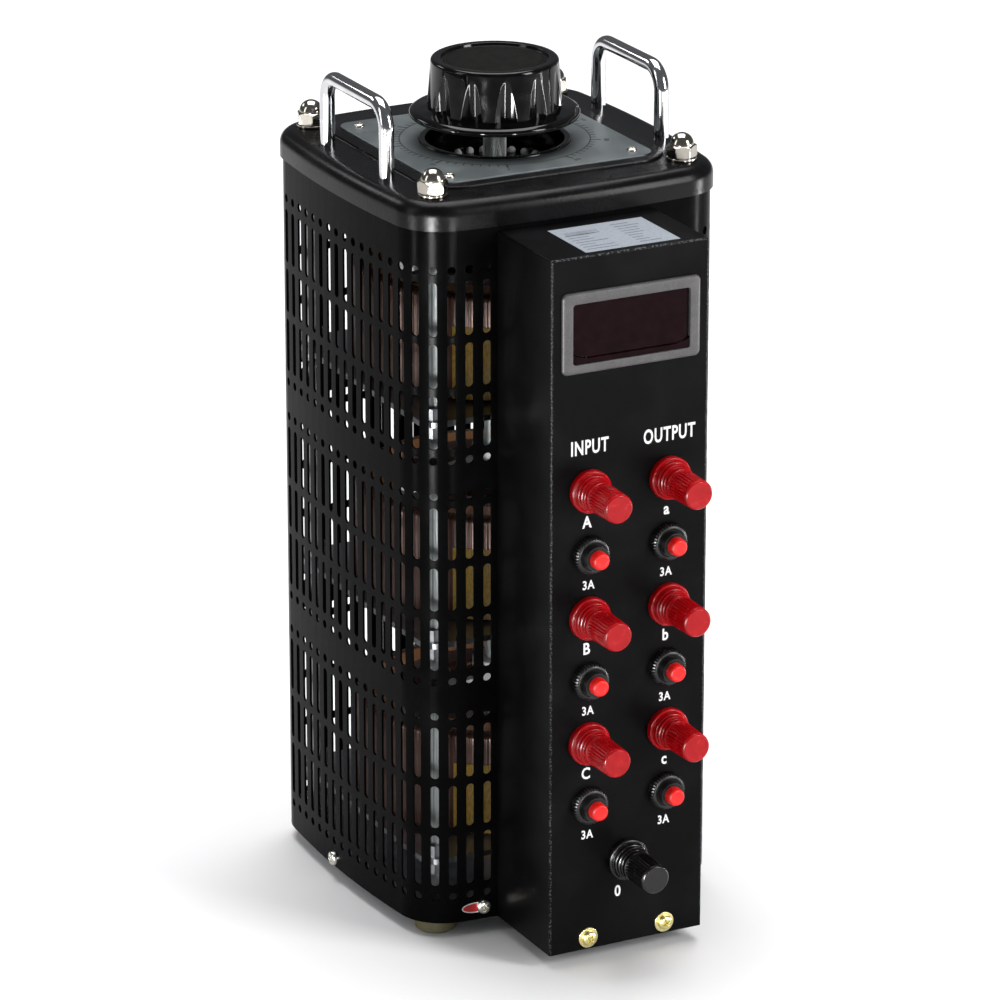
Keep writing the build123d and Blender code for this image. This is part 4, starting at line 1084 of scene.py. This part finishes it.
# %% Ring nuts and buttons
button_at = {name: middle(f"reset_button_{name}") for name in phases}
for name in phases:
    button_at[name][1] = panel_y
nut_radius, nut_height, nut_teeth, tooth = 10.0, 5.0, 36, 0.55
angle = around(432)
teeth = np.clip(2.6 * np.cos(nut_teeth * angle), -1, 1) * 0.5 - 0.5
nut_rows = np.array([0, 0, 3.6, 4.4])
toothed = np.array([9.3, nut_radius, nut_radius, nut_radius - 0.7]) + tooth * teeth * np.array([0, 1, 1, 0.6])
inner_profile = rounded([(8.9, 4.7), (8.2, nut_height), (7.5, nut_height), (7.2, 4.5), (6.5, 4.5),
                         (6.5, 0.0)], 0.25, 3)
nut_shape = np.hstack([toothed, inner_profile[0] * np.ones_like(angle)])
nut_heights = np.concatenate([nut_rows, inner_profile[1]])
ring_nuts = [turned(nut_shape, nut_heights, button_at[name], OUT_OF_FRONT, 432) for name in phases]
make_piece("breaker_ring_nuts", ring_nuts, "housing", part_black,
           closed=(True, True), crease=24, replaces=["breaker_nuts"])
neck_profile = rounded([(4.8, 5.0), (6.45, 5.0), (6.45, 8.5), (6.0, 9.0), (5.2, 9.0), (4.8, 8.6)], 0.3, 4)
make_piece("breaker_necks", [turned(*neck_profile, button_at[name], OUT_OF_FRONT, 72) for name in phases],
           "housing", part_black, closed=(True, True))
for name in phases:
    low, high = box_mm(f"reset_button_{name}")
    back, length = panel_y - high[1], high[1] - low[1]
    front = back + length
    button_profile = rounded([(0, back), (4.7, back), (4.7, front - 1.5), (4.1, front - 0.25),
                              (3.2, front), (2.2, front - 0.25), (0, front - 0.35)], 0.6, 5)
    make_piece(f"button_{name}_cap", [turned(*button_profile, button_at[name], OUT_OF_FRONT, 72)],
               f"button_{name}", button_red, replaces=[f"reset_button_{name}"])

# %% [markdown]
# ## Panel meter
# The meter is a grey frame clipped into the panel. Its front slopes up from a thin flange to a
# flat face, then drops into the opening for the lens. So it is one skin through three stacks of
# rounded rectangles: the front, the opening, and the back that closes it.

# %% Bezel
meter_low, meter_high = box_mm("meter_housing")
lens_low, lens_high = box_mm("meter_window")
meter_at = np.array([middle("meter_housing")[0], panel_y, middle("meter_housing")[2]])
meter_half = (meter_high[[0, 2]] - meter_low[[0, 2]]) / 2
lens_half = (lens_high[[0, 2]] - lens_low[[0, 2]]) / 2 + 0.1
lens_shift = middle("meter_window")[2] - meter_at[2]
proud, bezel_corner, view_corner = panel_y - meter_low[1], 3.0, 1.6
front_rings = ringed([ring_row(meter_half, bezel_corner, inset, out) for inset, out in (
    (0, 0), (0, 0.7), (0.15, 1.2), (0.5, 1.6), (1.1, proud - 0.12), (1.9, proud))], meter_at, OUT_OF_FRONT)
view_at = meter_at + (0, 0, lens_shift)
view_rings = ringed([ring_row(lens_half, view_corner, inset, out) for inset, out in (
    (-0.5, proud), (-0.15, proud - 0.1), (0, proud - 0.4), (0, -1.0))], view_at, OUT_OF_FRONT)
back_rings = ringed([ring_row(meter_half, bezel_corner, 2.2, out) for out in (-1.0, 0)],
                    meter_at, OUT_OF_FRONT)
make_piece("meter_bezel", [np.concatenate([front_rings, view_rings, back_rings], axis=1)], "housing",
           meter_grey, closed=(True, True), crease=30, replaces=["meter_housing"])

# %% [markdown]
# ## The meter's lens
# The lens is one height field: it lies deep, and steps forward to a narrow chin along the bottom
# whose edge curves up at both ends. The step is a smooth ramp across that curved line.

# %% Lens
across = np.linspace(-1, 1, 161)[:, None] * (lens_half[0] - 0.1)
upward = np.linspace(-1, 1, 121)[None, :] * (lens_half[1] - 0.1)
ledge_flat, ledge_rise, ledge_bend = 3.0, 4.0, 11.0
past = np.clip((np.abs(across) - (lens_half[0] - ledge_bend)) / ledge_bend, 0, 1)
ledge = -lens_half[1] + ledge_flat + ledge_rise * (1 - np.sqrt(1 - 0.96 * past ** 2))
on_chin = np.clip((ledge - upward) / 0.5 + 0.5, 0, 1)
lens_face, lens_back = panel_y - lens_low[1], panel_y - lens_high[1]
depth = lens_face - 1.1 * (1 - on_chin ** 2 * (3 - 2 * on_chin))
local = np.stack(np.broadcast_arrays(across, upward, depth), -1)
local = np.pad(local, ((1, 1), (1, 1), (0, 0)), mode="edge")      # one more row all round, set back
for border in (local[0], local[-1], local[:, 0], local[:, -1]):
    border[:, 2] = lens_back
lens = view_at + local @ OUT_OF_FRONT
make_piece("meter_lens", [lens], "housing", meter_lens, closed=(False, False),
           crease=30, replaces=["meter_window"])

# %% [markdown]
# ## Legends on the panel
# The legends say only what any such instrument would say. Headings stand over the two columns of
# posts, phase letters under the posts, and the rating under each breaker. Every place is counted
# from the post or the button that it belongs to, so the print follows the hardware.

# %% Panel legends
heading_rise, phase_drop, phase_aside, rating_drop = 19.9, 19.9, -1.2, 18.9
ink_y = panel_y - ink / 2
panel_legends = []
for kind, shown, word in (("input", "ABC", "INPUT"), ("output", "abc", "OUTPUT")):
    top = post_at[f"{kind}_a"]
    panel_legends.append((word, (top[0], ink_y, top[2] + heading_rise), OUT_OF_FRONT, 7.8, 0.66))
    for letter, drawn in zip("abc", shown):
        post, button = post_at[f"{kind}_{letter}"], button_at[f"{kind}_{letter}"]
        phase_place = (post[0] + phase_aside, ink_y, post[2] - phase_drop)
        rating_place = (button[0] - 0.8, ink_y, button[2] - rating_drop)
        panel_legends.append((drawn, phase_place, OUT_OF_FRONT, 6.4, 0.85))
        panel_legends.append(("3A", rating_place, OUT_OF_FRONT, 4.8, 0.85))
neutral = post_at["neutral"]
panel_legends.append(("0", (neutral[0] - 5.0, ink_y, neutral[2] - 20.4), OUT_OF_FRONT, 6.2, 0.85))
lettering("panel_legends", panel_legends, white_ink)

# %% [markdown]
# ## Rating label
# A silver label lies on top of the box. Its print is only bars of uneven length, in two columns,
# and a block of narrow stripes, so it looks like print and says nothing. The lengths are drawn
# from a seeded generator, so every run gives the same label.

# %% Rating label and its bars
box_low, box_high = box_mm("terminal_box")
label_size, label_back = np.array([54.0, 42.0]), 25.8
label_at = np.array([box_high[0] - 41.0, box_low[1] + label_back, box_high[2]])
label_sizes = np.array([[*label_size, 0.12]])
make_piece("rating_label", list(bars([label_at], [(1, 0, 0)], [(0, 1, 0)], (0, 0, 1), label_sizes)),
           "housing", label_silver)
draw = np.random.default_rng(7)
label_rise, print_height, print_ink = label_sizes[0, 2], 1.1, 0.02
print_left, value_left, below_code = -24.0, 6.0, 2
print_rows = np.linspace(15.5, -16.5, 9)


def columns(*values):
    """One row of numbers for each mark, from arrays and single numbers."""
    return np.stack(np.broadcast_arrays(*values), -1)


print_length = draw.uniform(9, 20, len(print_rows))
code_x = np.arange(-22, -4, 1.1)
code_width = draw.uniform(0.3, 0.8, len(code_x))
value_length = draw.uniform(6, 15, len(print_rows))
print_centres = columns(print_left + print_length / 2, print_rows, label_rise)
value_centres = columns(value_left + value_length / 2, print_rows, label_rise)
code_centres = columns(code_x, 10.0, label_rise)
print_sizes = columns(print_length, print_height, print_ink)
value_sizes = columns(value_length, print_height, print_ink)
code_sizes = columns(code_width, 6.0, print_ink)
mark_centres = label_at + np.vstack([print_centres[below_code:], value_centres, code_centres])
mark_sizes = np.vstack([print_sizes[below_code:], value_sizes, code_sizes])
ways = np.ones((len(mark_sizes), 1))
make_piece("label_print", list(bars(mark_centres, ways * (1, 0, 0), ways * (0, 1, 0), (0, 0, 1), mark_sizes)),
           "housing", label_ink)

# %% [markdown]
# ## Earth tag
# A small red oval marks the earth screw. It is two flat discs, one stretched over the other: the
# lower one is a little larger and white, and shows as a border. A disc becomes an oval when its
# axes are scaled by different amounts.

# %% Earth tag
tag_half = np.array([7.6, 2.9])
tag_at, tag_axes = wall_seat(earth_screw_at - (4.6, 0, 0), 1, shell_low[1], OUT_OF_FRONT)
for name, inset, rise, material in (("earth_tag_border", 0.0, 0.10, white_ink),
                                    ("earth_tag", 0.55, 0.16, label_red)):
    stretch = tag_axes * np.array([tag_half[0] - inset, tag_half[1] - inset, 1.0])[:, None]
    make_piece(name, [turned(np.array([0, 1, 1, 0]), np.array([0, 0, rise, rise]), tag_at, stretch, 96)],
               "housing", material)

# %% [markdown]
# ## Coils
# A coil is a ring of rectangular section under hundreds of turns of wire. Wire lies across the
# ring, so the surface ripples as it goes round: the section is pushed out a little by the size of
# a cosine that passes through one hump for each turn. A gap at the front is left unwound, where
# the two ends of a real coil's wire come out.

# %% Windings
wire_turns, wire_ripple, gap_half = 190, 0.35, radians(12)
bore = 38.0


def section(radius_in, radius_out, height, corner=3.2, steps=6):
    """The rounded rectangle of a coil's section, as radius, height and the direction outwards."""
    quarter = np.linspace(0, pi / 2, steps)
    centres = [(radius_out - corner, height / 2 - corner), (radius_in + corner, height / 2 - corner),
               (radius_in + corner, corner - height / 2), (radius_out - corner, corner - height / 2)]
    radius, level, out_r, out_z = [], [], [], []
    for turn_number, (r, z) in enumerate(centres):
        a = quarter + turn_number * pi / 2
        radius.append(r + corner * np.cos(a))
        level.append(z + corner * np.sin(a))
        out_r.append(np.cos(a))
        out_z.append(np.sin(a))
    return tuple(np.concatenate(v) for v in (radius, level, out_r, out_z))


section_r, section_z, section_out_r, section_out_z = section(
    bore + wire_ripple, winding_radius - wire_ripple, winding_high[2] - winding_low[2] - 2 * wire_ripple)
turn_angle = np.linspace(gap_half, 2 * pi - gap_half, wire_turns * 6)[:, None]
ripple = wire_ripple * np.abs(np.cos(turn_angle * wire_turns / 2))
for number in (1, 2, 3):
    level = middle(f"winding_{number}")[2]
    radius = section_r + ripple * section_out_r
    x = shaft_at[0] - radius * np.sin(turn_angle)
    y = shaft_at[1] - radius * np.cos(turn_angle)
    z = level + section_z + ripple * section_out_z
    make_piece(f"coil_turns_{number}", [np.stack([x, y, z], -1)], "housing",
               winding_wire, closed=(False, True), crease=60, replaces=[f"winding_{number}"])


# %% [markdown]
# ## Insulation paper
# Yellow paper holds the winding down beside the gap, and glows through the slots. It is a thin
# sheet that follows the coil: four corners of a section, carried through an angle.

# %% Insulation paper
paper_from, paper_to, paper_play = 16, 44, 0.1


def wrap_sheet(start, end, low, high, radius, thickness=0.25, steps=40):
    """A thin curved sheet at a radius from the shaft, between two angles and two heights."""
    a = np.radians(np.linspace(start, end, steps))[:, None]
    r = np.array([radius, radius + thickness, radius + thickness, radius])
    z = np.array([low, low, high, high])
    return np.stack(np.broadcast_arrays(shaft_at[0] - r * np.sin(a), shaft_at[1] - r * np.cos(a), z), -1)


papers = []
for number in (1, 2, 3):
    low, high = box_mm(f"winding_{number}")
    papers.append(wrap_sheet(paper_from, paper_to, low[2] + 2, high[2] - 17, winding_radius + paper_play))
make_piece("insulation_papers", papers, "housing", yellow_tape, closed=(False, True))

# %% [markdown]
# ## Floor
# The object stands on a plain pale floor. Its colour drifts a little, so that it is not perfectly
# even, and it mirrors next to nothing, so that the shadow stays soft.

# %% Floor
bpy.ops.mesh.primitive_plane_add(size=14, location=(0, 3.0, 0))
floor = bpy.context.object
floor.name = "studio_floor"
floor_paint = Recipe("studio_floor", {"Roughness": 0.85, "Specular IOR Level": 0.1})
floor.data.materials.append(floor_paint.wear(base_color=floor_paint.mix(
    floor_paint.noise(0.002, 2.0), (0.88, 0.88, 0.885), (0.90, 0.90, 0.90))))
print("floor:", tuple(round(v, 1) for v in floor.dimensions), "m")


# %% [markdown]
# ## Lights
# Black gloss shows only what it mirrors, so the lamps matter more than the paint. A large soft
# box high above lights the floor evenly, one to the right lifts the chrome, and two weak ones
# stand at the left and behind. Seen from above, an upright gloss wall mirrors only the floor. So
# four narrow strips stand low and close, and are seen only in gloss: they put the streaks on the
# knob and down the rounded corner.

# %% Lights
def soft_box(name, place, aim, size, power, only_mirrored=False):
    """An area light at a place, pointed at another place, both in metres from the shaft's foot.
    One that is only mirrored draws highlights on gloss, and lights nothing else."""
    light = bpy.data.lights.new(name, "AREA")
    light.shape, light.size, light.size_y, light.energy = "RECTANGLE", size[0], size[1], power
    holder = bpy.data.objects.new(name, light)
    bpy.context.scene.collection.objects.link(holder)
    foot = np.array([shaft_at[0], shaft_at[1], 0]) * MM
    holder.location = foot + place
    holder.rotation_mode = "QUATERNION"
    holder.rotation_quaternion = Vector(np.array(aim) - np.array(place)).to_track_quat("-Z", "Y")
    holder.visible_camera = False        # a lamp may stand near the object and stay out of the picture
    holder.visible_diffuse = not only_mirrored


soft_box("overhead_box", (0.45, 1.0, 4.0), (0.35, 0.8, 0), (3.2, 3.2), 215)
soft_box("left_box", (-2.2, 0.1, 1.1), (0, 0, 0.2), (0.5, 1.8), 9)
soft_box("right_box", (1.35, -1.9, 1.1), (0, 0, 0.25), (0.6, 1.5), 50)
soft_box("rim_box", (-1.3, 2.2, 1.7), (0, 0, 0.4), (0.9, 0.5), 9)
soft_box("left_kicker", (-0.62, -0.63, 0.12), (0, 0, 0.36), (0.12, 0.30), 20, True)
soft_box("side_kicker", (-0.90, -0.10, 0.12), (0, 0, 0.36), (0.05, 0.26), 2.0, True)
soft_box("front_kicker", (-0.02, -1.02, 0.10), (0, 0, 0.38), (0.05, 0.22), 3.0, True)
soft_box("right_kicker", (0.86, -0.45, 0.14), (0, 0, 0.38), (0.05, 0.26), 5.0, True)
world = bpy.data.worlds.new("studio")
world.use_nodes = True
world.node_tree.nodes["Background"].inputs["Color"].default_value = (0.92, 0.95, 1.0, 1)
world.node_tree.nodes["Background"].inputs["Strength"].default_value = 0.13
bpy.context.scene.world = world
print("lamps:", len(bpy.data.lights), "with", round(sum(lamp.energy for lamp in bpy.data.lights)), "W in all")

# %% [markdown]
# ## Camera
# The camera stands to the left and above, far off, with a long lens, so that uprights stay nearly
# upright. Its place is worked out backwards: from the point that it looks at, go back along the
# direction that it faces.

# %% Camera
yaw, pitch, distance = radians(27.1), radians(19.6), 3.1016
aim = np.array([shaft_at[0], shaft_at[1] - 6.1, 207.3]) * MM
facing = np.array([sin(yaw) * cos(pitch), cos(yaw) * cos(pitch), -sin(pitch)])
camera_data = bpy.data.cameras.new("view")
camera_data.lens, camera_data.sensor_width = 209.3, 36.0      # millimetres
camera = bpy.data.objects.new("view", camera_data)
bpy.context.scene.collection.objects.link(camera)
camera.location = aim - facing * distance
camera.rotation_euler = (pi / 2 - pitch, 0, -yaw)
camera_data.clip_start, camera_data.clip_end = 0.1, 40
bpy.context.scene.camera = camera
bpy.context.scene.view_settings.view_transform = "Standard"
print("camera at", tuple(round(v, 2) for v in camera.location), "m")
